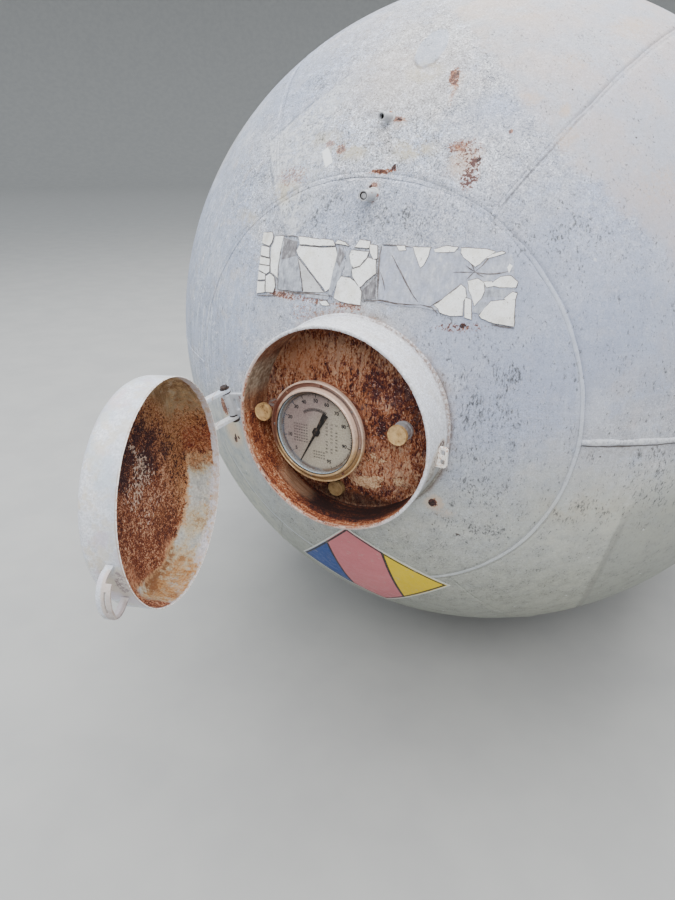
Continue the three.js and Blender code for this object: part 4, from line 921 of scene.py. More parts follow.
def mat_lid_paint():
    g = NG("lid_paint", 0.5)
    col, fine, fin2 = paint_base(g, streak=0.12, grain=2.1, craze=0.9)
    col = g.mix(0.60, col, C(232, 235, 243))
    Q = closed_coords(g)
    q = g.V('SUBTRACT', Q, (HX, 0, AZ + HZ))
    qx, qy, qz = g.sep(q)
    n, sp = g.noise(20, 5, 0.66), g.noise(150, 4, 0.7)
    col = g.shade(col, g.M('ADD', 1.0, g.times(g.M('SUBTRACT', sp, 0.5), 0.8)))
    # yellow and pink stains in the chalk
    col = g.mix(g.smooth(n, 0.47, 0.60, 0, 0.55), col, C(212, 200, 176))
    col = g.mix(g.smooth(g.noise(15, 4), 0.50, 0.62, 0, 0.50), col, C(198, 178, 188))
    col = g.mix(g.smooth(g.noise(9, 4), 0.52, 0.64, 0, 0.45), col, C(176, 192, 206))
    Qw = g.V('ADD', Q, g.V('ADD', g.warp(30, 0.010), g.warp(90, 0.004)))
    G = lambda a, b, c, r1, r2, r3: g.smooth(g.V('LENGTH', g.V('MULTIPLY', g.V('SUBTRACT', Qw, (a, FY - c, AZ + b)), (1 / r1, 1 / r3, 1 / r2))), 1.5, 0.4)
    h = g.most(G(HX + 0.262, HZ + 0.004, 1.142, 0.030, 0.045, 0.020), g.times(G(HX + 0.262, HZ + 0.02, 1.165, 0.030, 0.05, 0.024), 0.6))
    m = g.smooth(g.M('ADD', h, g.times(g.M('SUBTRACT', sp, 0.5), 2.0)), 0.72, 0.95)
    st = g.smooth(g.M('ADD', h, g.times(g.M('SUBTRACT', n, 0.5), 0.8)), 0.20, 0.7)
    col = g.mix(g.times(st, 0.62), col, C(196, 176, 138))
    col = g.mix(g.times(g.times(m, g.smooth(fin2, 0.40, 0.54)), 0.85), col, C(112, 72, 54))
    # handle: rubbed edges and a few chips
    hd = g.smooth(qx, 0.262, 0.272)
    hc = g.smooth(g.M('ADD', g.noise(70, 4, 0.7), g.times(g.M('SUBTRACT', fine, 0.5), 0.3)), 0.60, 0.68)
    col = g.mix(g.times(g.times(hd, hc), 0.75), col, C(146, 112, 88))
    inner = g.times(hd, g.smooth(g.M('SUBTRACT', FY, g.sep(Q)[1]), 1.152, 1.146))
    col = g.mix(g.times(inner, 0.70), col, g.mix(g.smooth(n, 0.40, 0.60), C(196, 168, 136), C(140, 104, 80)))
    vz, vc = g.vor(26, g.V('ADD', g.P, g.warp(60, 0.004))), g.sep(g.vor(26, g.V('ADD', g.P, g.warp(60, 0.004)), color=True))
    col = g.mix(g.times(g.smooth(vz, 0.10, 0.05), g.smooth(vc[0], 0.93, 0.95)), col, C(150, 120, 96))
    # worn lip
    o = g.M('SUBTRACT', FY, g.sep(Q)[1])
    lip = g.times(g.smooth(o, 1.1300, 1.1265), g.smooth(g.V('LENGTH', g.V('MULTIPLY', q, (1, 0, 1))), 0.2700, 0.2640))
    col = g.mix(g.times(g.smooth(o, 1.200, 1.130), 0.30), col, C(176, 188, 206))
    col = g.mix(g.times(g.times(g.smooth(o, 1.1305, 1.1290), g.smooth(o, 1.1262, 1.1272)), g.times(g.smooth(n, 0.36, 0.52), 0.55)), col, C(168, 140, 120))
    col = g.mix(g.times(g.smooth(o, 1.1276, 1.1264), g.smooth(g.V('LENGTH', g.V('MULTIPLY', q, (1, 0, 1))), 0.2700, 0.2640)), col, g.mix(g.smooth(sp, 0.50, 0.66), C(246, 242, 238), C(196, 160, 136)))
    return g.done(col, g.smooth(fin2, 0.3, 0.7, 0.42, 0.6), None, g.bump(g.M('ADD', g.times(fin2, 0.6), g.times(fine, 0.4)), 0.0006, 0.5))


def mat_lid_inside():
    g = NG("lid_inside_rust", 0.82, spec=0.25)
    Q = closed_coords(g)
    w = g.V('ADD', g.V('ADD', g.warp(12, 0.015, 3, Q), g.warp(50, 0.007, 2, Q)), Q)
    q = g.V('MULTIPLY', g.V('SUBTRACT', w, (HX, 0, AZ + HZ)), (1, 0, 1))
    qx, qy, qz = g.sep(q)
    r = g.V('LENGTH', q)
    az = g.M('ARCTAN2', qz, qx)
    A = lambda deg, half, soft=4: g.smooth(g.M('ABSOLUTE', g.M('SUBTRACT', az, math.radians(deg))), math.radians(half + soft), math.radians(half - soft))
    L = lambda cx, cz, rx, rz: g.smooth(g.V('LENGTH', g.V('MULTIPLY', g.V('SUBTRACT', q, (cx, 0, cz)), (1 / rx, 0, 1 / rz))), 1.7, 0.2)
    sp, s2 = g.noise(190, 4, 0.72, Q), g.noise(75, 4, 0.74, Q)
    f = rust_field(g, Q, (13, 50, 170, 340), (0.80, 0.80, 1.15, 1.15))
    f = g.M('ADD', f, g.times(g.M('SUBTRACT', g.noise(88, 2, 0.55, Q), 0.5), 0.60))
    f = g.M('ADD', f, -0.008)
    hin = g.smooth(g.M('ADD', qx, g.times(qz, 0.15)), -0.10, -0.20)
    dk = g.most(L(-0.085, 0.098, 0.060, 0.034), g.times(L(-0.120, 0.045, 0.045, 0.045), 0.95), L(-0.020, 0.080, 0.045, 0.042), g.times(L(0.024, 0.052, 0.036, 0.034), 0.95), g.times(L(-0.160, -0.020, 0.032, 0.036), 0.9), g.times(L(-0.075, 0.022, 0.06, 0.045), 0.95), g.times(L(-0.02, 0.135, 0.05, 0.03), 0.8))
    f = g.M('SUBTRACT', f, g.times(dk, 0.31))
    f = g.M('ADD', f, g.times(hin, 0.045))
    f = g.M('ADD', f, g.times(L(-0.160, 0.110, 0.07, 0.045), 0.10))
    lo = L(0.06, -0.14, 0.14, 0.13)
    f = g.M('SUBTRACT', f, g.times(lo, 0.02))
    col = rust_ramp(g, f)
    col = g.mix(g.times(g.times(dk, g.smooth(f, 0.62, 0.42)), 0.68), col, C(56, 36, 42))
    gold = g.most(hin, g.times(L(-0.205, -0.01, 0.05, 0.07), 0.9), g.times(L(-0.160, 0.105, 0.06, 0.040), 1.0), g.times(L(-0.045, -0.150, 0.035, 0.035), 0.55))
    col = g.mix(g.times(g.times(gold, g.smooth(f, 0.30, 0.44)), 0.60), col, g.mix(g.smooth(sp, 0.38, 0.62), C(140, 88, 50), C(196, 146, 98)))
    col = g.mix(g.times(g.times(lo, g.smooth(f, 0.64, 0.50)), 0.45), col, C(118, 58, 44))
    ol = g.times(A(146, 22, 10), g.smooth(r, 0.195, 0.240))
    olc = g.mix(g.smooth(g.noise(1.0, 3, 0.62, g.V('MULTIPLY', Q, (60, 60, 14))), 0.4, 0.6), C(200, 172, 130), C(142, 114, 84))
    olc = g.mix(g.smooth(g.noise(50, 4, 0.6, Q), 0.54, 0.64, 0, 0.8), olc, C(196, 184, 158))
    col = g.mix(g.times(ol, 0.85), col, olc)
    col = g.mix(g.times(g.times(A(166, 10, 6), g.smooth(r, 0.20, 0.24)), g.smooth(s2, 0.44, 0.56, 0, 0.65)), col, C(168, 150, 118))
    red = g.times(g.times(A(-166, 8, 5), g.smooth(r, 0.232, 0.252)), g.smooth(s2, 0.40, 0.56, 0.3, 1.0))
    col = g.mix(g.times(red, 0.80), col, g.mix(g.smooth(sp, 0.38, 0.62), C(98, 40, 29), C(142, 66, 42)))
    pk = g.times(g.most(L(0.142, -0.160, 0.020, 0.046), g.times(L(0.122, -0.214, 0.040, 0.018), 1.0), g.times(L(-0.012, -0.228, 0.030, 0.018), 0.8), g.times(L(0.150, -0.092, 0.012, 0.040), 0.7)), g.smooth(s2, 0.40, 0.54, 0.2, 1.0))
    col = g.mix(g.times(pk, 0.85), col, g.mix(g.smooth(sp, 0.38, 0.62), C(224, 172, 134), C(180, 112, 78)))
    # pale crust
    cr = g.most(g.times(L(-0.046, 0.074, 0.012, 0.032), 0.85), L(-0.050, 0.022, 0.032, 0.028), L(-0.028, -0.008, 0.038, 0.024), L(-0.003, -0.030, 0.040, 0.022), g.times(L(-0.064, -0.022, 0.030, 0.028), 0.78), g.times(L(0.024, 0.004, 0.040, 0.030), 0.50), g.times(L(-0.02, -0.09, 0.06, 0.04), 0.42))
    cm_ = g.smooth(g.M('ADD', g.times(cr, 0.66), g.times(g.M('SUBTRACT', g.noise(128, 3, 0.66, Q), 0.5), 3.6)), 0.56, 0.70)
    cm_ = g.times(cm_, g.smooth(cr, 0.05, 0.30))
    col = g.mix(g.times(cm_, 0.90), col, g.mix(g.smooth(sp, 0.38, 0.62), C(236, 214, 194), C(192, 164, 144)))
    # fine pink grains all over
    gr = g.noise(260, 3, 0.7, Q)
    col = g.mix(g.smooth(gr, 0.62, 0.70, 0, 0.75), col, C(188, 140, 118))
    col = g.mix(g.smooth(gr, 0.36, 0.29, 0, 0.70), col, C(56, 32, 32))
    # painted part that is left: skirt and knuckle, low and back
    r2 = g.V('LENGTH', g.V('ADD', q, (0.018, 0, 0.014)))
    edge = g.M('ADD', g.M('ADD', r2, g.times(g.M('SUBTRACT', g.noise(26, 5, 0.7, Q), 0.5), 0.026)), g.times(g.M('SUBTRACT', sp, 0.5), 0.014))
    azw = g.M('ADD', az, g.M('ADD', g.times(g.M('SUBTRACT', g.noise(34, 4, 0.68, Q), 0.5), 0.24), g.times(g.smooth(r, 0.240, 0.260), -0.085)))
    wend = g.times(g.smooth(azw, math.radians(-157.5), math.radians(-153.0)), g.smooth(az, math.radians(-50), math.radians(-54)))
    white = g.times(g.smooth(edge, 0.2240, 0.2280), wend)
    n2 = g.noise(11, 5, 0.65, Q)
    lip0 = g.M('ADD', g.M('SUBTRACT', FY, g.sep(Q)[1]), g.times(g.M('SUBTRACT', s2, 0.5), 0.03))
    wc = g.mix(g.smooth(n2, 0.38, 0.58), C(192, 194, 190), C(198, 188, 164))
    wc = g.mix(g.smooth(lip0, 1.160, 1.138), wc, C(206, 204, 212))
    wc = g.mix(g.smooth(g.noise(30, 4, 0.62, Q), 0.52, 0.64, 0, 0.5), wc, C(150, 158, 160))
    wc = g.shade(wc, g.M('ADD', 1.0, g.M('ADD', g.times(g.M('SUBTRACT', sp, 0.5), 1.1), g.times(g.M('SUBTRACT', s2, 0.5), 0.8))))
    stn = g.most(g.times(g.times(A(-88, 14, 8), g.smooth(r, 0.266, 0.240)), 0.30), g.times(A(-68, 14, 8), 0.30), g.times(g.times(A(-84, 8, 6), g.smooth(r, 0.250, 0.262)), 0.22), g.times(g.smooth(azw, math.radians(-143), math.radians(-156)), 0.26), g.times(g.smooth(edge, 0.238, 0.229), 0.12), g.times(g.times(A(-100, 30, 10), g.smooth(g.M('ABSOLUTE', g.M('SUBTRACT', r, 0.2585)), 0.004, 0.001)), 0.10))
    sm = g.M('ADD', g.M('ADD', n2, stn), g.M('ADD', g.times(g.M('SUBTRACT', s2, 0.5), 0.75), g.times(g.M('SUBTRACT', sp, 0.5), 0.35)))
    wc = g.mix(g.smooth(sm, 0.58, 0.70, 0, 0.80), wc, g.mix(g.smooth(sp, 0.40, 0.62), C(166, 132, 92), C(200, 184, 152)))
    wc = g.mix(g.smooth(sm, 0.72, 0.84, 0, 0.9), wc, C(128, 80, 48))
    tanb = g.times(g.times(g.smooth(g.M('ABSOLUTE', g.M('SUBTRACT', azw, math.radians(-159.0))), 0.070, 0.015), g.smooth(edge, 0.218, 0.226)), g.smooth(s2, 0.38, 0.54, 0.25, 0.9))
    wc = g.mix(g.times(g.times(A(-72, 20, 8), g.smooth(r, 0.246, 0.259)), g.smooth(g.M('ADD', s2, g.times(g.M('SUBTRACT', sp, 0.5), 0.5)), 0.44, 0.54, 0.12, 0.85)), wc, g.mix(g.smooth(sp, 0.38, 0.62), C(168, 112, 62), C(198, 160, 114)))
    col = g.mix(white, col, wc)
    col = g.mix(g.times(tanb, 0.50), col, g.mix(g.smooth(sp, 0.38, 0.62), C(186, 148, 104), C(214, 192, 158)))
    rim = g.times(g.smooth(edge, 0.2205, 0.2245), g.smooth(edge, 0.2320, 0.2275))
    col = g.mix(g.times(g.times(rim, A(-103, 53, 3)), g.smooth(s2, 0.40, 0.55, 0.2, 0.85)), col, C(206, 164, 122))
    o = g.M('SUBTRACT', FY, g.sep(Q)[1])
    hs = g.smooth(g.M('DIVIDE', qx, r), -0.30, -0.78)
    lo_ = g.M('ADD', g.M('SUBTRACT', o, g.times(hs, 0.013)), g.times(g.M('SUBTRACT', s2, 0.5), 0.008))
    lip = g.smooth(lo_, 1.1322, 1.1290)
    col = g.mix(g.times(lip, 0.92), col, g.mix(g.smooth(s2, 0.44, 0.60), C(212, 210, 216), C(202, 182, 168)))
    return g.done(col, 0.80, None, g.bump(f, 0.0018, 0.8))


# ---- small fittings
def mat_brass(name, a, b, metal=0.6, rough=0.36):
    g = NG(name, rough, metal, 0.5)
    n, f, v = g.noise(60, 5, 0.65), g.noise(300, 1, 0.5), g.noise(16, 4, 0.6)
    x, y, zz = g.sep()
    dx, dz = g.M('SUBTRACT', x, GX), g.M('SUBTRACT', zz, AZ + GZ)
    o = g.M('SUBTRACT', FY, y)
    r = g.V('LENGTH', g.V('MULTIPLY', g.V('SUBTRACT', g.P, (GX, 0, AZ + GZ)), (1, 0, 1)))
    col = g.mix(g.smooth(n, 0.35, 0.65), a, b)
    # top of the bezel: painted pinkish highlight
    up = g.smooth(g.M('ADD', dz, g.times(dx, 0.25)), -0.02, 0.06)
    col = g.mix(g.times(up, 0.72), col, g.mix(g.smooth(v, 0.4, 0.6), C(240, 206, 192), C(226, 200, 190)))
    # groove: dirt, reddish brown at the top left with painted shade and painted reflection of rust, lilac-grey upper
    # right, olive low
    gr = g.times(g.smooth(g.M('ABSOLUTE', g.M('SUBTRACT', r, 0.1206)), 0.0056, 0.0040), g.smooth(o, 1.1150, 1.1126))
    gc = g.mix(g.smooth(dx, -0.02, 0.06), C(112, 66, 54), C(146, 124, 118))
    gc = g.mix(g.smooth(dz, 0.0, -0.05), gc, C(132, 100, 62))
    gc = g.shade(gc, g.M('ADD', 1.0, g.times(g.M('SUBTRACT', f, 0.5), 1.6)))
    col = g.mix(g.times(gr, 0.90), col, gc)
    # dark arc in the groove at the upper right: a gap line darkened with painted shadow
    slot = g.times(g.times(g.smooth(g.M('ABSOLUTE', g.M('SUBTRACT', r, 0.1182)), 0.0016, 0.0006), g.smooth(dx, 0.008, 0.016)), g.times(g.smooth(dz, 0.060, 0.072), gr))
    col = g.mix(g.times(slot, 0.9), col, C(44, 34, 34))
    ed = g.times(g.smooth(g.M('ABSOLUTE', g.M('SUBTRACT', r, 0.1160)), 0.0016, 0.0005), g.smooth(o, 1.1160, 1.1130))
    col = g.mix(g.times(ed, 0.75), col, C(78, 54, 42))
    # left side: maroon brown of painted shade and painted reflection of the rust round it
    left = g.smooth(g.M('ADD', g.M('SUBTRACT', dx, g.times(g.M('ABSOLUTE', g.M('SUBTRACT', dz, 0.01)), -0.35)), g.times(g.M('SUBTRACT', v, 0.5), 0.05)), -0.070, -0.098)
    col = g.mix(g.times(left, 0.88), col, g.mix(g.smooth(n, 0.4, 0.6), C(118, 66, 54), C(92, 50, 44)))
    col = g.mix(g.smooth(v, 0.54, 0.70, 0, 0.45), col, C(134, 98, 74))
    col = g.mix(g.smooth(f, 0.60, 0.72, 0, 0.5), col, C(112, 84, 62))
    col = g.mix(g.smooth(n, 0.64, 0.72, 0, 0.6), col, C(138, 122, 92))
    return g.done(col, g.smooth(n, 0.3, 0.7, rough - 0.08, rough + 0.2), None, g.bump(g.M('ADD', n, g.times(f, 0.5)), 0.0003, 0.4))


def mat_cap():
    g = NG("cap_face", 0.5, 0.2, 0.4)
    n, f = g.noise(70, 5, 0.68), g.noise(380, 3, 0.6)
    col = g.mix(g.smooth(n, 0.36, 0.64), C(218, 184, 130), C(192, 154, 102))
    col = g.mix(g.smooth(f, 0.54, 0.68, 0, 0.55), col, C(216, 192, 148))
    col = g.mix(g.smooth(n, 0.60, 0.70, 0, 0.8), col, C(116, 84, 54))
    col = g.mix(g.smooth(g.noise(24, 4), 0.58, 0.68, 0, 0.6), col, C(136, 100, 66))
    low = g.smooth(g.M('SUBTRACT', g.sep()[2], AZ), -0.15, -0.19)
    col = g.mix(g.times(low, 0.62), col, g.mix(g.smooth(n, 0.4, 0.6), C(112, 98, 66), C(84, 70, 50)))
    return g.done(col, g.smooth(n, 0.3, 0.7, 0.42, 0.66), None, g.bump(g.M('ADD', n, g.times(f, 0.6)), 0.0005, 0.6))


def mat_steel(name, paint=0.0, rust=0.5):
    g = NG(name, 0.6, 0.3, 0.4)
    n, f = g.noise(46, 5, 0.68), g.noise(300, 3, 0.6)
    rc, rf, _ = rust_color(g, None, 0.0, 22, 90)
    base = g.mix(g.smooth(n, 0.38, 0.62), C(150, 144, 142), C(112, 106, 104))
    base = g.mix(paint, base, C(200, 204, 210))
    m = g.smooth(g.M('ADD', n, g.times(g.M('SUBTRACT', f, 0.5), 0.4)), 0.72 - rust * 0.4, 0.80 - rust * 0.4)
    col = g.mix(g.times(m, 0.9), base, rc)
    return g.done(col, g.smooth(n, 0.3, 0.7, 0.5, 0.78), None, g.bump(g.M('ADD', n, g.times(f, 0.6)), 0.0006, 0.6))


def mat_iron():
    g = NG("dark_iron", 0.5, 0.35, 0.5)
    n, f = g.noise(90, 4, 0.66), g.noise(320, 1, 0.5)
    col = g.mix(g.smooth(n, 0.40, 0.60), C(40, 34, 34), C(70, 58, 54))
    col = g.mix(g.smooth(f, 0.56, 0.68, 0, 0.7), col, C(118, 96, 84))
    col = g.mix(g.smooth(n, 0.60, 0.68, 0, 0.7), col, C(104, 58, 40))
    return g.done(col, g.smooth(n, 0.3, 0.7, 0.40, 0.70), None, g.bump(g.M('ADD', n, g.times(f, 0.5)), 0.0005, 0.5))


def mat_dial():
    g = NG("dial_face", 0.5, 0.0, 0.4)
    q = g.V('MULTIPLY', g.V('SUBTRACT', g.P, (GX, 0, AZ + GZ)), (1, 0, 1))
    r = g.V('LENGTH', g.V('ADD', q, g.scale(g.warp(40, 0.003), (1, 0, 1))))
    qs = g.sep(q)
    n, f, m = g.noise(28, 5, 0.62), g.noise(260, 1, 0.5), g.noise(9, 3, 0.6)
    diag = g.smooth(g.M('ADD', g.M('SUBTRACT', g.times(qs[0], 0.75), g.times(qs[2], 0.6)), g.times(g.M('SUBTRACT', m, 0.5), 0.06)), -0.045, 0.035)
    col = g.mix(diag, C(138, 122, 118), C(166, 158, 142))
    col = g.mix(g.smooth(n, 0.45, 0.68, 0, 0.35), col, C(160, 150, 142))
    col = g.shade(col, g.M('ADD', 1.0, g.times(g.M('SUBTRACT', f, 0.5), 0.9)))
    vz, vc = g.vor(120, g.P), g.sep(g.vor(120, g.P, color=True))
    spots = g.times(g.smooth(vz, 0.22, 0.10), g.smooth(vc[0], 0.80, 0.84))
    col = g.mix(g.times(g.times(spots, diag), 0.55), col, C(120, 104, 92))
    col = g.mix(g.smooth(r, 0.088, 0.102, 0, 0.50), col, C(128, 118, 108))
    # painted blue reflection on the dial edge at the lower left
    blue = g.times(g.smooth(r, 0.0935, 0.0965), g.smooth(g.M('ADD', qs[0], g.times(qs[2], 0.8)), -0.052, -0.080))
    col = g.mix(g.times(blue, 0.50), col, C(84, 104, 124))
    rust = g.times(g.smooth(r, 0.0930, 0.1005), g.smooth(n, 0.48, 0.58))
    col = g.mix(g.times(rust, 0.62), col, C(104, 76, 56))
    return g.done(col, g.smooth(n, 0.3, 0.7, 0.40, 0.60), None, g.bump(f, 0.0002, 0.4))


def mat_ink(name, c1, c2):
    g = NG(name, 0.6)
    n = g.noise(300, 3, 0.6)
    return g.done(g.mix(g.smooth(n, 0.45, 0.68), c1, c2), 0.6, None, g.bump(n, 0.0001, 0.3))


def mat_black():
    g = NG("needle_black", 0.5, 0.1)
    n = g.noise(120, 4, 0.65)
    return g.done(g.mix(g.smooth(n, 0.5, 0.72), C(30, 28, 28), C(78, 64, 54)), g.smooth(n, 0.3, 0.7, 0.4, 0.7), None, g.bump(n, 0.0003, 0.4))


def mat_flake(name="flake_white", a=C(250, 251, 251), b=C(237, 236, 230)):
    g = NG(name, 0.6)
    n, f, b_ = g.noise(34, 5, 0.66), g.noise(320, 3, 0.6), g.noise(120, 4, 0.7)
    col = g.mix(g.smooth(n, 0.42, 0.68), a, b)
    col = g.shade(col, g.M('ADD', 1.0, g.M('ADD', g.times(g.M('SUBTRACT', f, 0.5), 0.24), g.times(g.M('SUBTRACT', b_, 0.5), 0.22))))
    col = g.mix(g.smooth(b_, 0.64, 0.72, 0, 0.75), col, C(140, 132, 126))
    col = g.mix(g.smooth(g.noise(14, 3), 0.58, 0.70, 0, 0.45), col, C(188, 180, 168))
    cr = g.noise(60, 3, 0.6, dist=1.2)
    col = g.mix(g.smooth(g.M('ABSOLUTE', g.M('SUBTRACT', cr, 0.5)), 0.010, 0.002, 0, 0.45), col, C(128, 124, 122))
    return g.done(col, g.smooth(n, 0.3, 0.7, 0.5, 0.7), None, g.bump(g.M('ADD', n, g.times(f, 0.4)), 0.0005, 0.5))


def mat_film(name="old_film", a=C(176, 181, 192), b=C(150, 154, 164), dark=C(112, 112, 120), amt=0.55):
    g = NG(name, 0.6)
    n, f, m = g.noise(30, 5, 0.66), g.noise(260, 3, 0.65), g.noise(95, 4, 0.7)
    st = g.noise(1.0, 4, 0.6, g.V('MULTIPLY', g.P, (130, 130, 9)))
    col = g.mix(g.smooth(n, 0.40, 0.64), a, b)
    col = g.mix(g.smooth(st, 0.48, 0.66, 0, amt), col, dark)
    col = g.mix(g.smooth(st, 0.46, 0.32, 0, 0.5), col, C(206, 208, 214))
    col = g.shade(col, g.M('ADD', 1.0, g.M('ADD', g.times(g.M('SUBTRACT', f, 0.5), 0.5), g.times(g.M('SUBTRACT', m, 0.5), 0.5))))
    return g.done(col, 0.62, None, g.bump(f, 0.0004, 0.5))


def mat_grime():
    g = NG("edge_grime", 0.75)
    n, f = g.noise(60, 4, 0.7), g.noise(300, 3, 0.6)
    col = g.mix(g.smooth(n, 0.38, 0.62), C(84, 76, 74), C(128, 122, 122))
    col = g.mix(g.smooth(f, 0.55, 0.7, 0, 0.6), col, C(78, 60, 52))
    return g.done(col, 0.75, None, g.bump(f, 0.0003, 0.5))


def mat_bands():
    g = NG("banded_film", 0.48)
    uvn = g.t.nodes.new('ShaderNodeUVMap')
    uvn.uv_map = "st"
    s, t, _ = g.sep(uvn.outputs[0])
    n, f, b = g.noise(40, 5, 0.66), g.noise(320, 3, 0.6), g.noise(9, 4, 0.6)
    u = g.M('ADD', g.M('SUBTRACT', s, t), g.times(g.M('SUBTRACT', f, 0.5), 0.006))
    blue = g.mix(b, C(28, 76, 148), C(22, 56, 118))
    pink = g.mix(b, C(208, 126, 130), C(188, 100, 110))
    yel = g.mix(b, C(236, 208, 20), C(216, 182, 14))
    col = g.mix(g.smooth(u, -0.362, -0.350), blue, pink)
    col = g.mix(g.smooth(u, 0.350, 0.362), col, yel)
    ln = g.most(g.smooth(g.M('ABSOLUTE', g.M('ADD', u, 0.356)), 0.020, 0.012), g.smooth(g.M('ABSOLUTE', g.M('SUBTRACT', u, 0.356)), 0.020, 0.012))
    ed = g.M('MINIMUM', g.M('MINIMUM', s, g.M('SUBTRACT', 1.0, s)), g.M('MINIMUM', t, g.M('SUBTRACT', 1.0, t)))
    ln = g.most(ln, g.times(g.smooth(g.M('ABSOLUTE', g.M('SUBTRACT', ed, 0.030)), 0.012, 0.006), 1.0))
    col = g.mix(g.times(ln, g.smooth(f, 0.72, 0.5, 0.75, 1.0)), col, C(28, 26, 28))
    col = g.mix(g.smooth(ed, 0.020, 0.012), col, C(204, 206, 200))
    col = g.mix(g.smooth(n, 0.55, 0.74, 0, 0.35), col, C(196, 190, 180))
    col = g.mix(g.smooth(f, 0.62, 0.74, 0, 0.4), col, C(120, 108, 98))
    return g.done(col, g.smooth(n, 0.3, 0.7, 0.35, 0.6), None, g.bump(g.M('ADD', n, g.times(f, 0.3)), 0.0005, 0.5))


PAINT_F, PAINT_B = mat_front_paint(), mat_body_paint()
WELD_CLEAN, WELD_WORN, WELD_RUST = mat_weld("weld_painted", -0.02), mat_weld("weld_worn", 0.10, C(196, 198, 198)), mat_weld("weld_rusty", 0.24, C(170, 150, 134))
SUPPORT, HOOD_P, HOOD_W, HOOD_B = mat_support(), mat_hood_paint(), mat_hood_wall(), mat_hood_back()
LID_P, LID_I = mat_lid_paint(), mat_lid_inside()
BRASS = mat_brass("bezel_brass", C(214, 184, 142), C(190, 158, 114), 0.30, 0.42)
CAP, STEEL_P, STEEL_R = mat_cap(), mat_steel("fitting_painted", 0.75, 0.25), mat_steel("fitting_rusty", 0.0, 0.8)
STEEL_D = mat_steel("bolt_steel", 0.0, 0.55)
IRON = mat_iron()
DIAL, INK, BLACK = mat_dial(), mat_ink("dial_ink", C(30, 28, 32), C(58, 54, 56)), mat_black()
# cup wall: the pale blue band is a painted sky highlight, the darker lower wall is painted shade
CUP_SKY_HIGHLIGHT = mat_ink("cup_wall", C(168, 184, 196), C(128, 134, 138))
CUP_SHADE = mat_ink("cup_wall_painted_shade", C(136, 134, 132), C(104, 96, 88))
FLANGE = mat_steel("flange_rusty", 0.0, 1.15)
INK_B = mat_ink("dial_ink_blue", C(44, 62, 84), C(66, 78, 92))
FLAKE, FILM, GRIME, BANDS = mat_flake(), mat_film(), mat_grime(), mat_bands()
FLAKE_G = mat_flake("flake_greyed", C(206, 207, 210), C(190, 190, 190))
FILM_D = mat_film("old_film_dark", C(136, 134, 138), C(116, 114, 118), C(84, 80, 84), 0.7)
FILM_B = mat_film("bare_under_strip", C(166, 172, 190), C(180, 184, 196), C(138, 142, 156), 0.4)


# ---------------------------------------------------------------- vessel plates
def plate_dent(P, end):
    """low waviness, always inwards"""
    d = -0.0011 * (1 + fbm(P, 2.2, 3, 4)) - 0.0004 * (1 + fbm(P, 9, 2, 9))
    return d


def head_plate(name, end, az0, az1, naz, p0, p1, npol, mat, wrap=False):
    az = np.linspace(az0, az1, naz + 1)[: (naz if wrap else naz + 1)]
    pol = np.linspace(p0, p1, npol + 1)
    A, Pp = np.meshgrid(az, pol, indexing='xy')
    base = head_pt(A, Pp, RV, end)
    d = plate_dent(base, end)
    if p0 > 1:      # weld shrinkage by the seams
        e = np.minimum(A - az0, az1 - A) * math.pi / 180 * np.sin(np.radians(Pp)) * RV
        d = d - (0.0003 if end == "front" else 0.0009) * np.exp(-(e / 0.035) ** 2)
        if name == "front_petal_6":
            e = (az1 - A) * math.pi / 180 * np.sin(np.radians(Pp)) * RV
            d = d - 0.0030 * np.exp(-(e / 0.030) ** 2)
    outer = head_pt(A, Pp, RV + d, end)
    inner = head_pt(A, Pp, RV - T_HEAD, end)
    V, F = slab(outer, inner, wrap)
    if p0 < 1:      # close the tiny hole at the pole
        n, m = outer.shape[:2]
        k = n * m
        F = [f for f in F.tolist()]
        rim = [f for f in F if set(f) <= set(range(m)) | set(range(k, k + m))]
        F = [f for f in F if f not in rim]
        F.append(list(range(m)))
        F.append([k + i for i in range(m)][::-1])
    return make(name + "_plate", V, F, mat, replaces=(name,))


for end, mat, st in (("front", PAINT_F, 1.0), ("rear", PAINT_B, 1.5)):
    head_plate(end + "_crown", end, SEAM, SEAM + 360, int(360 / st), 0.08, CROWN, int(31 / st), mat, True)
    for p in range(6):
        head_plate("%s_petal_%d" % (end, p + 1), end, SEAM + 60 * p, SEAM + 60 * (p + 1), int(60 / st), CROWN, 90, int(60 / st), mat)

ys = np.linspace(FY, RY, 4)
for c in range(3):
    az = np.linspace(0, 2 * math.pi, 240, endpoint=False)
    yy = np.linspace(ys[c], ys[c + 1], 29)
    Y, A = np.meshgrid(yy, az, indexing='ij')
    P = np.stack([RV * np.cos(A), Y, AZ + RV * np.sin(A)], -1)
    e = np.minimum(Y - ys[c], ys[c + 1] - Y)
    d = plate_dent(P, "shell") * np.clip(e / 0.08, 0.3, 1) - 0.0008 * np.exp(-(e / 0.04) ** 2)
    G = np.stack([(RV + d) * np.cos(A), Y, AZ + (RV + d) * np.sin(A)], -1)
    I = np.stack([(RV - T_SHELL) * np.cos(A), Y, AZ + (RV - T_SHELL) * np.sin(A)], -1)
    V, F = slab(G, I, True)
    make("shell_course_%d_plate" % (c + 1), V, F, PAINT_B, replaces=("shell_course_%d" % (c + 1),))

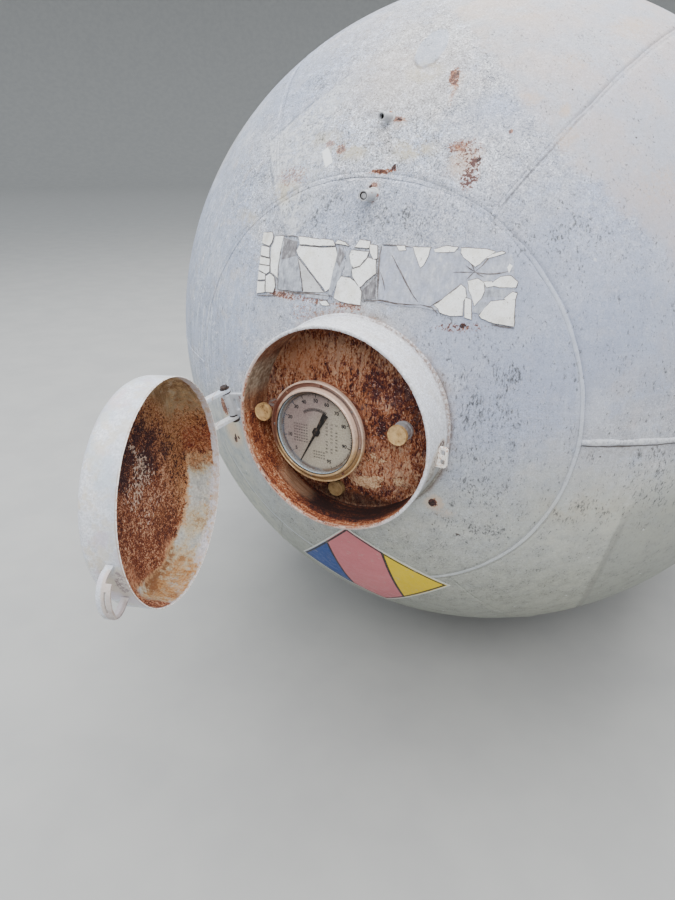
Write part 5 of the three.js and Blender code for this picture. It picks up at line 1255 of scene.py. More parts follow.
# weld beads
for end, m1, m2 in (("front", PAINT_F, PAINT_F), ("rear", PAINT_B, WELD_WORN)):
    c0 = np.array([0, FY if end == "front" else RY, AZ])
    az = np.linspace(0, 360, 720, endpoint=False)
    P = head_pt(az, CROWN + 0.08 * vnoise(np.stack([np.cos(np.radians(az)), np.sin(np.radians(az)), 0 * az], -1), 4, 2), RV - 0.0013, end)
    dz = np.abs((az + 30 + 180) % 360 - 180)
    V, F = bead(P, P - c0, 0.0120, 0.0019, True, 1, part=0.42 + 0.58 * np.clip((82 - dz) / 20, 0, 1) if end == "front" else 1.0)
    make(end + "_crown_weld", V, F, m1)
    parts = []
    for k in range(6):
        a0 = SEAM + 60 * k
        pol = np.linspace(CROWN + 0.3, 90.0, 300)
        wav = 0.10 * vnoise(np.stack([pol * 0.05, 0 * pol, 0 * pol + k], -1), 3, k)
        big = end == "front" and k == 0
        P = head_pt(a0 + wav / np.sin(np.radians(pol)), pol, RV - (0.0010 if big else 0.0016), end)
        low = end == "front" and k in (1, 2)
        parts.append(bead(P, P - c0, 0.017 if big else 0.011, 0.0034 if big else 0.0019, False, 10 + k, wob=0.30 if big else 0.14, rip=0.50 if big else 0.3, part=0.45 if low else 1.0))
    V, F = join_parts(parts)
    make(end + "_petal_welds", V, F, m2)
parts = []
for k, y in enumerate(ys):
    a = np.linspace(0, 2 * math.pi, 800, endpoint=False)
    P = np.stack([(RV - 0.0008) * np.cos(a), y + 0.002 * np.sin(3 * a + k), AZ + (RV - 0.0008) * np.sin(a)], -1)
    N = np.stack([np.cos(a), 0 * a, np.sin(a)], -1)
    parts.append(bead(P, N, 0.018, 0.0024, True, 30 + k))
for c, deg in enumerate((112, 66, 101)):
    y = np.linspace(ys[c] + 0.006, ys[c + 1] - 0.006, 260)
    a = math.radians(deg)
    P = np.stack([(RV - 0.0012) * math.cos(a) + 0 * y, y, AZ + (RV - 0.0012) * math.sin(a) + 0 * y], -1)
    N = np.stack([math.cos(a) + 0 * y, 0 * y, math.sin(a) + 0 * y], -1)
    parts.append(bead(P, N, 0.017, 0.0024, False, 40 + c))
V, F = join_parts(parts)
make("shell_welds", V, F, WELD_WORN)


# ---------------------------------------------------------------- hood
def hood_mesh():
    n = 360
    t = np.linspace(0, 2 * math.pi, n, endpoint=False)
    cs, sn = np.cos(t), np.sin(t)
    T3 = np.stack([cs, sn, 0 * t], -1)
    oval = 0.0006 * vnoise(T3, 1.6, 3)
    rim_d = -0.0011 * np.clip(vnoise(T3, 9, 5) - 0.15, 0, 1) - 0.0004 * (1 + vnoise(T3, 30, 6))
    def base(r):
        x, z = HX + r * cs, HZ + r * sn
        return np.sqrt(RV ** 2 - x * x - z * z) - 0.004
    rows, mt = [], []
    ro, ri, rr = HRO, HRI, 0.0032
    bo, bi = base(ro), base(ri)
    for f in np.linspace(0, 1, 12):
        h = bo + (HRIM - rr - bo) * f
        r = ro + oval - 0.0007 * (1 + vnoise(np.stack([cs * 3, sn * 3, h * 12], -1), 1.3, 8)) * 0.5
        rows.append((r, h + rim_d * f))
    for a in np.linspace(0, math.pi, 9)[1:-1]:
        mid, half = (ro + ri) / 2, (ro - ri) / 2
        rows.append((mid + half * math.cos(a) + oval, HRIM - rr + rr * math.sin(a) + rim_d))
    for f in np.linspace(1, 0, 12):
        h = bi + (HRIM - rr - bi) * f
        r = ri + oval + 0.0005 * vnoise(np.stack([cs * 6, sn * 6, h * 30], -1), 2.2, 12) * (0.3 if f > 0.95 else 1)
        rows.append((r, h + rim_d * f))
    G = np.stack([Wn(HX + r * cs, HZ + r * sn, h) for r, h in rows])
    nr = len(rows)
    V = G.reshape(-1, 3)
    F = quads(nr, n, wv=True)
    last = np.stack([(nr - 1) * n + np.arange(n), (nr - 1) * n + (np.arange(n) + 1) % n, (np.arange(n) + 1) % n, np.arange(n)], -1)
    fm = np.zeros(len(F) + n, int)
    rowid = np.repeat(np.arange(nr - 1), n)
    fm[: len(F)][rowid >= 18] = 1
    fm[len(F):] = 1
    return V, np.concatenate([F, last]), fm


V, F, fm = hood_mesh()
make("gauge_hood_shell", V, F, [HOOD_P, HOOD_W], fm, replaces=("gauge_hood",), sharp=50)


def fillet(x, z, r, width, height, inside=False, n=260, seed=0, rip=0.35):
    t = np.linspace(0, 2 * math.pi, n, endpoint=False)
    P = on_head(x + r * np.cos(t), z + r * np.sin(t), -0.0006)
    rad = np.stack([np.cos(t), 0 * t, np.sin(t)], -1) * (-1 if inside else 1)
    N = head_norm(P) + rad
    return bead(P, N, width, height, True, seed, sink=0.004, rip=rip, lift=0.0)


V, F = fillet(HX, HZ, HRO + 0.0010, 0.010, 0.0032, False, 460, 50)
make("hood_weld_outside", V, F, HOOD_P)
V, F = fillet(HX, HZ, HRI - 0.001, 0.012, 0.0035, True, 420, 52)
make("hood_weld_inside", V, F, HOOD_B)

# rusted head surface inside the hood, with scale and pits
nr, nt = 96, 330
rad = np.linspace(0.004, 0.2490, nr)
t = np.linspace(0, 2 * math.pi, nt, endpoint=False)
Rr, Tt = np.meshgrid(rad, t, indexing='ij')
X, Z = HX + Rr * np.cos(Tt), HZ + Rr * np.sin(Tt)
P0 = on_head(X, Z, 0)
edge = np.clip((0.246 - Rr) / 0.01, 0, 1)
sc = 0.00055 + edge * (0.0007 * np.clip(fbm(P0, 26, 4, 21) + 0.15, -0.4, 1) + 0.0004 * fbm(P0, 110, 3, 25) + 0.0005 * (fbm(P0, 52, 2, 28) > 0.12))
top = on_head(X, Z, sc)
bot = on_head(X, Z, -0.004)
V, F = slab(top, bot, True)
F = F.tolist()
k = nr * nt
ring0 = set(range(nt)) | set(range(k, k + nt))
F = [f for f in F if not set(f) <= ring0]
F.append(list(range(nt)))
F.append([k + i for i in range(nt)][::-1])
make("hood_back_scale", V, F, HOOD_B)


# ---------------------------------------------------------------- lid
def lid_mesh():
    n = 300
    t = np.linspace(0, 2 * math.pi, n, endpoint=False)
    cs, sn = np.cos(t), np.sin(t)
    back = LID_LIP + LID_SKIRT
    def prof(ro, kn, top):
        pts = [(ro, LID_LIP + 0.0015 + (LID_SKIRT - 0.0015) * f) for f in np.linspace(0, 1, 9)]
        for a in np.linspace(0, math.pi / 2, 12)[1:]:
            pts.append((ro - kn + kn * math.cos(a), back + kn * math.sin(a)))
        rk = ro - kn
        for f in np.linspace(1, 0.012, 22)[1:]:
            pts.append((rk * f, back + kn + top * (1 - f * f)))
        return pts
    outer, inner = prof(LID_RO, LID_KN, LID_DOME), prof(LID_RI, LID_KN - LID_T, LID_DOME)
    def disp(r, h, k):
        P = np.stack([r * cs, r * sn, h + 0 * cs], -1)
        oval = 0.0007 * (vnoise(np.stack([cs, sn, 0 * cs], -1), 1.4, 70) - 1)
        dent = 0.0
        if h > back:
            dent = -0.0014 * (1 + fbm(P, 6, 3, 71))
        return oval, dent
    rows = []
    for r, h in inner[::-1]:
        o, d = disp(r, h, 1)
        rs = 0.0
        P = np.stack([r * cs * 1.0, r * sn, h + 0 * cs], -1)
        scale = 0.0007 * np.clip(fbm(P, 30, 3, 77), -0.3, 1)
        flat = h > back + 0.02
        rows.append((r + o + (0 if flat else -0.3 * scale), h + d - (scale if flat else 0)))
    rim = 0.5 * (LID_RO + LID_RI)
    notch = -0.0004 * (1 + vnoise(np.stack([cs, sn, 0 * cs], -1), 22, 73))
    for a in (-0.75, -0.25, 0.25, 0.75):
        s = math.sin(a * math.pi / 2)
        c = math.cos(a * math.pi / 2)
        o, d = disp(rim, LID_LIP, 0)
        rows.append((rim + 0.5 * (LID_RO - LID_RI) * s + o, LID_LIP + 0.0015 * (1 - c) - notch))
    for r, h in outer:
        o, d = disp(r, h, 0)
        rows.append((r + o, h + d))
    G = np.stack([Wn(HX + r * cs, HZ + r * sn, h * np.ones(n)) for r, h in rows])
    nr_ = len(rows)
    F = quads(nr_, n, wv=True).tolist()
    fm = np.zeros(len(F) + 2, int)
    rowid = np.repeat(np.arange(nr_ - 1), n)
    fm[: len(F)][rowid < len(inner)] = 1
    F.append(list(range(n)))
    F.append([(nr_ - 1) * n + i for i in range(n)])
    fm[-2] = 1
    V = G.reshape(-1, 3)
    M = np.array(SWING)
    V = V @ M[:3, :3].T + M[:3, 3]
    return V, F, fm


V, F, fm = lid_mesh()
make("hood_lid_pan", V, F, [LID_P, LID_I], fm, body="lid", replaces=("hood_lid",), sharp=55)


# ---------------------------------------------------------------- bevelled copies of plain fabricated pieces
def bevel_copy(node, width, mats, segs=2, angle=32, sharp=42, name=None, wear=0.0):
    src = NODES[node]
    bm = bmesh.new()
    bm.from_mesh(src.data)
    bmesh.ops.remove_doubles(bm, verts=bm.verts, dist=2e-6)
    bmesh.ops.dissolve_limit(bm, angle_limit=math.radians(0.6), verts=bm.verts, edges=bm.edges)
    es = [e for e in bm.edges if e.is_manifold and e.calc_face_angle(0) > math.radians(angle)]
    if es and width:
        bmesh.ops.bevel(bm, geom=es, offset=width, segments=segs, profile=0.65, affect='EDGES', clamp_overlap=True)
    bmesh.ops.triangulate(bm, faces=[f for f in bm.faces if len(f.verts) > 4])
    me = bpy.data.meshes.new((name or node + "_piece"))
    bm.to_mesh(me)
    bm.free()
    for m in (mats if isinstance(mats, (list, tuple)) else [mats]):
        me.materials.append(m)
    me.polygons.foreach_set("use_smooth", np.ones(len(me.polygons), bool))
    me.set_sharp_from_angle(angle=math.radians(sharp))
    me.update()
    ob = bpy.data.objects.new(name or node + "_piece", me)
    bpy.context.scene.collection.objects.link(ob)
    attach(ob, src["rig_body"])
    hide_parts(node)
    return ob


bevel_copy("hinge_arm_upper", 0.0014, LID_P)
bevel_copy("hinge_arm_lower", 0.0014, LID_P)
bevel_copy("hinge_bracket", 0.0010, STEEL_P)
bevel_copy("hinge_pin", 0.0012, IRON)
bevel_copy("lid_handle", 0.0012, LID_P)
bevel_copy("hood_staple", 0.0014, LID_P)
bevel_copy("gauge_needle", 0.0003, BLACK, angle=40)
for s in ("front", "rear"):
    bevel_copy(s + "_saddle", 0.0022, SUPPORT)
    bevel_copy(s + "_wear_pad", 0.0025, SUPPORT)
    bevel_copy("lifting_lug_" + s, 0.0030, SUPPORT)

# ---------------------------------------------------------------- gauge
V, F = lathe([(0, 1.035), (0.112, 1.035), (0.112, 1.0908), (0.1135, 1.0920), (0.1228, 1.0920), (0.1240, 1.0932), (0.1240, 1.1018), (0.1228, 1.1030), (0, 1.1030)], GX, GZ, 96)
make("gauge_flange_piece", V, F, FLANGE, replaces=("gauge_flange",), sharp=30)
# bezel: rolled outer rim, wide groove with screws, raised rounded lip
V, F = lathe([(0.1036, 1.1036), (0.1285, 1.1036), (0.1296, 1.1044), (0.1300, 1.1060), (0.1300, 1.1138), (0.1298, 1.1154), (0.1292, 1.1165), (0.1282, 1.1171), (0.1271, 1.1171), (0.1261, 1.1164),
              (0.1256, 1.1152), (0.1254, 1.1130), (0.1248, 1.1122), (0.1236, 1.1119), (0.1176, 1.1119), (0.1164, 1.1123), (0.1157, 1.1134), (0.1151, 1.1165), (0.1142, 1.1206), (0.1130, 1.1240),
              (0.1116, 1.1260), (0.1100, 1.1269), (0.1082, 1.1270), (0.1071, 1.1266), (0.1065, 1.1256), (0.1063, 1.1236), (0.1056, 1.1218), (0.1040, 1.1112)], GX, GZ, 144)
make("gauge_bezel_ring", V, F, BRASS, replaces=("gauge_bezel",), sharp=50)
V, F = lathe([(0.1048, 1.1236), (0.1064, 1.1238), (0.1064, 1.1262), (0.1060, 1.1266), (0.1053, 1.1265), (0.1049, 1.1257)], GX, GZ, 144)
make("bezel_gasket", V, F, BLACK, sharp=60)
# lower cup wall in painted shade, pale blue top band as a painted sky highlight
V, F = lathe([(0.1031, 1.1095), (0.1037, 1.1095), (0.1047, 1.1196), (0.1043, 1.1198), (0.1031, 1.1112)], GX, GZ, 144)
make("gauge_cup_wall", V, F, CUP_SHADE, sharp=60)
V, F = lathe([(0.1041, 1.1192), (0.1047, 1.1192), (0.1053, 1.1242), (0.1049, 1.1244), (0.1043, 1.1198)], GX, GZ, 144)
make("gauge_cup_wall_top", V, F, CUP_SKY_HIGHLIGHT, sharp=60)
V, F = lathe([(0, 1.1036), (0.1029, 1.1036), (0.1029, 1.1107), (0.1026, 1.1110), (0, 1.1110)], GX, GZ, 96)
make("gauge_dial_disc", V, F, DIAL, replaces=("gauge_dial",), sharp=30)


def flat_bars(bars, o0, o1):
    """bars: (x, z, half length, half width, angle) on the dial"""
    parts = []
    for x, z, hl, hw, a in bars:
        ca, sa = math.cos(a), math.sin(a)
        c = [(x + ca * u * hl - sa * v * hw, z + sa * u * hl + ca * v * hw) for u, v in ((-1, -1), (1, -1), (1, 1), (-1, 1))]
        V = [W(p[0], p[1], o0) for p in c] + [W(p[0], p[1], o1) for p in c]
        F = [[3, 2, 1, 0], [4, 5, 6, 7], [0, 1, 5, 4], [1, 2, 6, 5], [2, 3, 7, 6], [3, 0, 4, 7]]
        parts.append((np.array(V), F))
    return join_parts(parts)


SCALE = [(5, 222.0), (10, 194.7), (20, 161.0), (30, 135.6), (40, 115.7), (50, 91.2), (60, 69.1), (70, 46.1), (80, 20.6), (90, -16.7), (95, -64.6)]
val = np.array([s[0] for s in SCALE], float)
ang = np.array([s[1] for s in SCALE], float)
bars, blue = [], []
for v in range(5, 96):
    a = math.radians(np.interp(v, val, ang))
    major, mid5 = v % 10 == 0, v % 5 == 0
    r1 = 0.0975
    r0 = 0.0885 if major else (0.0915 if mid5 else 0.0940)
    (blue if v < 40 else bars).append((GX + (r0 + r1) / 2 * math.cos(a), GZ + (r0 + r1) / 2 * math.sin(a), (r1 - r0) / 2, 0.0009 if major else 0.00055, a))
arc = []
for k in range(150):
    a0, a1 = [math.radians(np.interp(5 + 90 * q / 150, val, ang)) for q in (k, k + 1)]
    m = (a0 + a1) / 2
    arc.append((GX + 0.0978 * math.cos(m), GZ + 0.0978 * math.sin(m), 0.0978 * abs(a1 - a0) / 2 * 1.03, 0.00045, m + math.pi / 2))
for k in range(60):
    m = math.radians(62 + 66 * k / 59)
    for r_ in (0.061, 0.0540):
        arc.append((GX + r_ * math.cos(m), GZ + r_ * math.sin(m), r_ * math.radians(66 / 59) / 2 * 1.05, 0.0004, m + math.pi / 2))
    if k % 3:
        arc.append((GX + 0.0575 * math.cos(m), GZ + 0.0575 * math.sin(m), 0.0026 if k % 2 else 0.0016, 0.00062, m))
V, F = flat_bars(bars + arc, 1.1109, 1.11125)
make("dial_ticks", V, F, INK)
V, F = flat_bars(blue, 1.1109, 1.11125)
make("dial_ticks_low", V, F, INK_B)


def text_mesh(body, size, x, z, o, ang_=0.0, bold=0.0):
    cu = bpy.data.curves.new("t", 'FONT')
    cu.body = body
    cu.size = size
    cu.align_x, cu.align_y = 'CENTER', 'CENTER'
    cu.extrude = 0.00012
    cu.offset = bold
    cu.resolution_u = 3
    ob = bpy.data.objects.new("t", cu)
    bpy.context.scene.collection.objects.link(ob)
    bpy.context.view_layer.update()
    me = bpy.data.meshes.new_from_object(ob.evaluated_get(bpy.context.evaluated_depsgraph_get()))
    ca, sa = math.cos(ang_), math.sin(ang_)
    V = [W(x + ca * v.co.x - sa * v.co.y, z + sa * v.co.x + ca * v.co.y, o + v.co.z) for v in me.vertices]
    F = [list(p.vertices) for p in me.polygons]
    bpy.data.objects.remove(ob)
    bpy.data.curves.remove(cu)
    bpy.data.meshes.remove(me)
    return np.array(V), F


parts = []
for v, a in SCALE:
    a = math.radians(a)
    parts.append(text_mesh(str(v), 0.0128, GX + 0.0800 * math.cos(a), GZ + 0.0800 * math.sin(a), 1.1110, bold=0.0005))
for i in range(9):
    for j in range(3):
        if (i * 3 + j) % 7 == 5:
            continue
        parts.append(text_mesh(str(10 * (i + 1) + 5 * j), 0.0062, GX + 0.028 + 0.0135 * j, GZ + 0.026 - 0.0092 * i, 1.1110, bold=0.0001))
for i in range(7):
    parts.append(text_mesh(" ".join(str(10 + 7 * i + 3 * j) for j in range(6)), 0.0054, GX - 0.046, GZ + 0.012 - 0.0074 * i, 1.1110, bold=0.0001))
for i in range(3):
    parts.append(text_mesh(" ".join(str(20 + 9 * i + 5 * j) for j in range(5)), 0.0054, GX + 0.006, GZ - 0.052 - 0.0078 * i, 1.1110, bold=0.0001))
V, F = join_parts(parts)
make("dial_numbers", V, F, INK)


def screw(x, z, o, r, h, ang_=0.3, n=20):
    rows = [ring_pts(x, z, r, o - 0.002, n), ring_pts(x, z, r, o + h * 0.45, n), ring_pts(x, z, r * 0.86, o + h * 0.82, n), ring_pts(x, z, r * 0.55, o + h, n)]
    return loft(rows, True, True)


SCREWS = [-98, -52, -9, 36, 83, 133, 180, 222]
parts = []
for a in SCREWS:
    a = math.radians(a)
    parts.append(screw(GX + 0.1206 * math.cos(a), GZ + 0.1206 * math.sin(a), 1.1116, 0.0033, 0.0034, n=24))
V, F = join_parts(parts)
make("bezel_screws", V, F, STEEL_D)
V, F = flat_bars([(GX + 0.1206 * math.cos(math.radians(a)), GZ + 0.1206 * math.sin(math.radians(a)), 0.0027, 0.00045, math.radians(a * 3 + 20)) for a in SCREWS], 1.1146, 1.1152)
make("bezel_screw_slots", V, F, BLACK)
V, F = loft([ring_pts(GX, GZ, 0.0072, 1.1108, 32), ring_pts(GX, GZ, 0.0072, 1.1130, 32), ring_pts(GX, GZ, 0.0062, 1.1138, 32)], True, True)
make("needle_collar", V, F, BRASS)


# ---------------------------------------------------------------- caps and plugs
def knurl(n_r, amp, o0):
    def f(r, o, t):
        k = 1.0 if r > 0.02 and o > o0 else 0.0
        return r - k * amp * (0.5 + 0.5 * np.cos(n_r * t)) - 0.0002 * (1 + vnoise(np.stack([np.cos(t) * 3, np.sin(t) * 3, o * 300 + 0 * t], -1), 1.7, 3))
    return f


CX, CZ = 0.1644, -0.0116
V, F = lathe([(0, 1.0813), (0.0245, 1.0813), (0.0250, 1.0820), (0.0250, 1.0846), (0.0243, 1.0850), (0.0243, 1.0862), (0.0250, 1.0866), (0.0250, 1.0908), (0.0244, 1.0918), (0.0232, 1.0920),
              (0.0225, 1.0914), (0.0190, 1.0913), (0.0040, 1.0913), (0.0028, 1.0908), (0.0008, 1.0907), (0, 1.0907)], CX, CZ, 144, knurl(48, 0.0005, 1.0863))
make("right_cap_disc", V, F, CAP, replaces=("right_cap",), sharp=40)
def hexmod(r, o, t):
    return r * (0.955 + 0.045 * np.cos(6 * t) ** 2)
V, F = lathe([(0, 1.035), (0.0230, 1.035), (0.0230, 1.0580), (0.0222, 1.0590), (0.0222, 1.0600), (0.0230, 1.0610), (0.0230, 1.0795), (0.0222, 1.0808), (0, 1.0808)], CX, CZ, 72, hexmod)
V2, F2 = lathe([(0.0150, 1.035), (0.0252, 1.035), (0.0240, 1.0565), (0.0150, 1.0575)], CX, CZ, 72)
V, F = join_parts([(V, F), (V2, F2)])
make("right_bushing_piece", V, F, STEEL_P, replaces=("right_bushing",), sharp=35)
LX, LZ = -0.2003, -0.0142
V, F = lathe([(0, 1.0973), (0.0230, 1.0973), (0.0235, 1.0980), (0.0235, 1.1086), (0.0228, 1.1098), (0.0218, 1.1100), (0.0212, 1.1094), (0.0150, 1.1093), (0.0030, 1.1093), (0.0020, 1.1089), (0, 1.1089)],
              LX, LZ, 144, knurl(44, 0.0006, 1.0983))
make("left_cap_disc", V, F, CAP, replaces=("left_cap",), sharp=40)
V, F = lathe([(0, 1.033), (0.0190, 1.033), (0.0188, 1.0560), (0.0140, 1.0572), (0.0140, 1.0960), (0.0134, 1.0968), (0, 1.0968)], LX, LZ, 48)
make("left_bushing_piece", V, F, STEEL_R, replaces=("left_bushing",), sharp=35)
V, F = lathe([(0, 1.028), (0.0218, 1.028), (0.0218, 1.0560), (0.0212, 1.0566), (0.0212, 1.0572), (0.0218, 1.0578), (0.0218, 1.0600), (0.0206, 1.0614), (0.0196, 1.0616), (0.0190, 1.0610), (0, 1.0610)], -0.0158, -0.208, 96, knurl(40, 0.0005, 1.0575))
make("low_plug_piece", V, F, CAP, replaces=("low_plug",), sharp=40)

# couplings above the hood
V, F = lathe([(0, 0.93), (0.0121, 0.93), (0.0121, 0.9838), (0.0114, 0.9848), (0.0092, 0.9848), (0.0088, 0.9840), (0.0088, 0.9806), (0.0066, 0.9800), (0.0060, 0.9815), (0.0020, 0.9815), (0, 0.9815)], 0.0143, 0.4983, 48)
make("lower_coupling_stub", V, F, STEEL_P, replaces=("lower_coupling",), sharp=35)
V, F = lathe([(0, 0.82), (0.0098, 0.82), (0.0098, 0.8790), (0.0092, 0.8798), (0.0068, 0.8798), (0.0063, 0.8790), (0.0063, 0.8630), (0, 0.8630)], 0.004, 0.661, 48)
make("upper_coupling_stub", V, F, [STEEL_P], replaces=("upper_coupling",), sharp=35)
V, F = join_parts([fillet(0.0143, 0.4983, 0.0128, 0.008, 0.0028, False, 60, 60), fillet(0.004, 0.661, 0.0104, 0.007, 0.0024, False, 60, 61)])
make("coupling_welds", V, F, WELD_WORN)
V, F = join_parts([loft([ring_pts(0.0143, 0.4983, 0.0084, 0.9800, 32), ring_pts(0.0143, 0.4983, 0.0086, 0.9838, 32), ring_pts(0.0143, 0.4983, 0.0072, 0.9838, 32), ring_pts(0.0143, 0.4983, 0.0070, 0.9808, 32)]),
                   loft([ring_pts(0.004, 0.661, 0.0061, 0.8632, 32), ring_pts(0.004, 0.661, 0.0061, 0.8640, 32)], True, True)])
make("coupling_threads", V, F, BLACK)


# ---------------------------------------------------------------- cracked strip over the hood
TL, TR, BR, BL = (-0.288, 0.406), (0.357, 0.392), (0.376, 0.235), (-0.283, 0.254)


def strip_xz(s, t):
    s, t = np.asarray(s, float), np.asarray(t, float)
    x = (1 - s) * (1 - t) * BL[0] + s * (1 - t) * BR[0] + s * t * TR[0] + (1 - s) * t * TL[0]
    z = (1 - s) * (1 - t) * BL[1] + s * (1 - t) * BR[1] + s * t * TR[1] + (1 - s) * t * TL[1]
    return x, z


def outline(poly, step, amp, seed, off=0.0):
    """resample an outline given in strip shares, shake it, move it outwards by off (m)"""
    P = np.array([strip_xz(s, t) for s, t in poly], float).reshape(-1, 2)
    a2 = 0.5 * np.sum(P[:, 0] * np.roll(P[:, 1], -1) - np.roll(P[:, 0], -1) * P[:, 1])
    if a2 < 0:
        P = P[::-1]
    out = []
    for i in range(len(P)):
        a, b = P[i], P[(i + 1) % len(P)]
        k = max(1, int(round(np.linalg.norm(b - a) / step)))
        for j in range(k):
            out.append(a + (b - a) * j / k)
    out = np.array(out)
    T = np.roll(out, -1, 0) - np.roll(out, 1, 0)
    N = np.stack([T[:, 1], -T[:, 0]], -1)
    N /= np.maximum(np.linalg.norm(N, axis=1, keepdims=True), 1e-9)
    q = np.concatenate([out, np.zeros((len(out), 1)) + seed * 0.37], 1)
    d = amp * (0.7 * vnoise(q, 80, 80) + 0.45 * vnoise(q, 230, 84)) + off
    return out + N * d[:, None]


def inside_poly(P, x, z):
    c = np.zeros(x.shape, bool)
    n = len(P)
    for i in range(n):
        (x0, z0), (x1, z1) = P[i], P[(i + 1) % n]
        hit = (z0 > z) != (z1 > z)
        c ^= hit & (x < (x1 - x0) * (z - z0) / (z1 - z0 + 1e-12) + x0)
    return c


def sheet(P, o0, o1, curl=0.0, seed=0, bend=0.0):
    """thin closed solid on the head from an (x, z) outline; bend lifts it to one side"""
    P = np.asarray(P, float)
    n = len(P)
    lo, hi = P.min(0), P.max(0)
    gx, gz = np.meshgrid(np.arange(lo[0], hi[0], 0.0075), np.arange(lo[1], hi[1], 0.0075), indexing='ij')
    gx, gz = gx.ravel(), gz.ravel()
    ins = inside_poly(P, gx, gz)
    G = np.stack([gx[ins], gz[ins]], -1)
    if len(G):
        dist = np.sqrt(((G[:, None] - P[None]) ** 2).sum(-1)).min(1)
        G = G[dist > 0.0032]
    pts = [Vector((float(a), float(b))) for a, b in np.concatenate([P, G.reshape(-1, 2)])]
    v, _, f, *_r = delaunay_2d_cdt(pts, [], [list(range(n))], 1, 1e-7)
    v = np.array([[p[0], p[1]] for p in v])
    f = [list(q) for q in f if len(q) == 3]
    m = len(v)
    de = {}
    for t3 in f:
        for i in range(3):
            de[(t3[i], t3[(i + 1) % 3])] = 1
    rim = [(a, b) for a, b in de if (b, a) not in de]
    onrim = np.zeros(m, bool)
    for a, b in rim:
        onrim[a] = onrim[b] = True
    q = np.concatenate([v, np.zeros((m, 1)) + seed], 1)
    lift = o1 + np.where(onrim, curl, 0.0) + 0.00025 * vnoise(q, 55, 91)
    if bend:
        u = (v[:, 0] - lo[0]) / max(hi[0] - lo[0], 1e-6)
        lift = lift + bend * np.clip(u, 0, 1) ** 2
    top, bot = on_head(v[:, 0], v[:, 1], lift), on_head(v[:, 0], v[:, 1], o0)
    F = f + [[m + i for i in t3[::-1]] for t3 in f] + [[b, a, m + a, m + b] for a, b in rim]
    return np.concatenate([top, bot]), F


def scratch(pts, w, seed=0, o1=0.0004, taper=0.85):
    """long thin dark mark along a line in strip shares"""
    P = np.array([strip_xz(s, t) for s, t in pts], float).reshape(-1, 2)
    L = np.concatenate([[0], np.cumsum(np.linalg.norm(np.diff(P, axis=0), axis=1))])
    k = max(6, int(L[-1] / 0.003))
    u = np.linspace(0, L[-1], k)
    C_ = np.stack([np.interp(u, L, P[:, 0]), np.interp(u, L, P[:, 1])], -1)
    T = np.gradient(C_, axis=0)
    T /= np.maximum(np.linalg.norm(T, axis=1, keepdims=True), 1e-9)
    N = np.stack([-T[:, 1], T[:, 0]], -1)
    q = np.concatenate([C_, np.zeros((k, 1)) + seed], 1)
    C_ = C_ + N * (0.0014 * vnoise(q, 60, 93))[:, None]
    prof = (1 - taper * np.abs(2 * u / L[-1] - 1) ** 1.6)
    h = w / 2 * prof * (1 + 0.45 * vnoise(q, 130, 95))
    a, b = C_ + N * h[:, None], C_ - N * h[:, None]
    V = np.concatenate([on_head(a[:, 0], a[:, 1], o1), on_head(b[:, 0], b[:, 1], o1), on_head(a[:, 0], a[:, 1], -0.0008), on_head(b[:, 0], b[:, 1], -0.0008)])
    F = []
    for i in range(k - 1):
        F += [[i, i + 1, k + i + 1, k + i], [2 * k + i, 3 * k + i, 3 * k + i + 1, 2 * k + i + 1], [i, 2 * k + i, 2 * k + i + 1, i + 1], [k + i, k + i + 1, 3 * k + i + 1, 3 * k + i]]
    F += [[0, k, 3 * k, 2 * k], [k - 1, 3 * k - 1, 4 * k - 1, 2 * k - 1]]
    return V, F


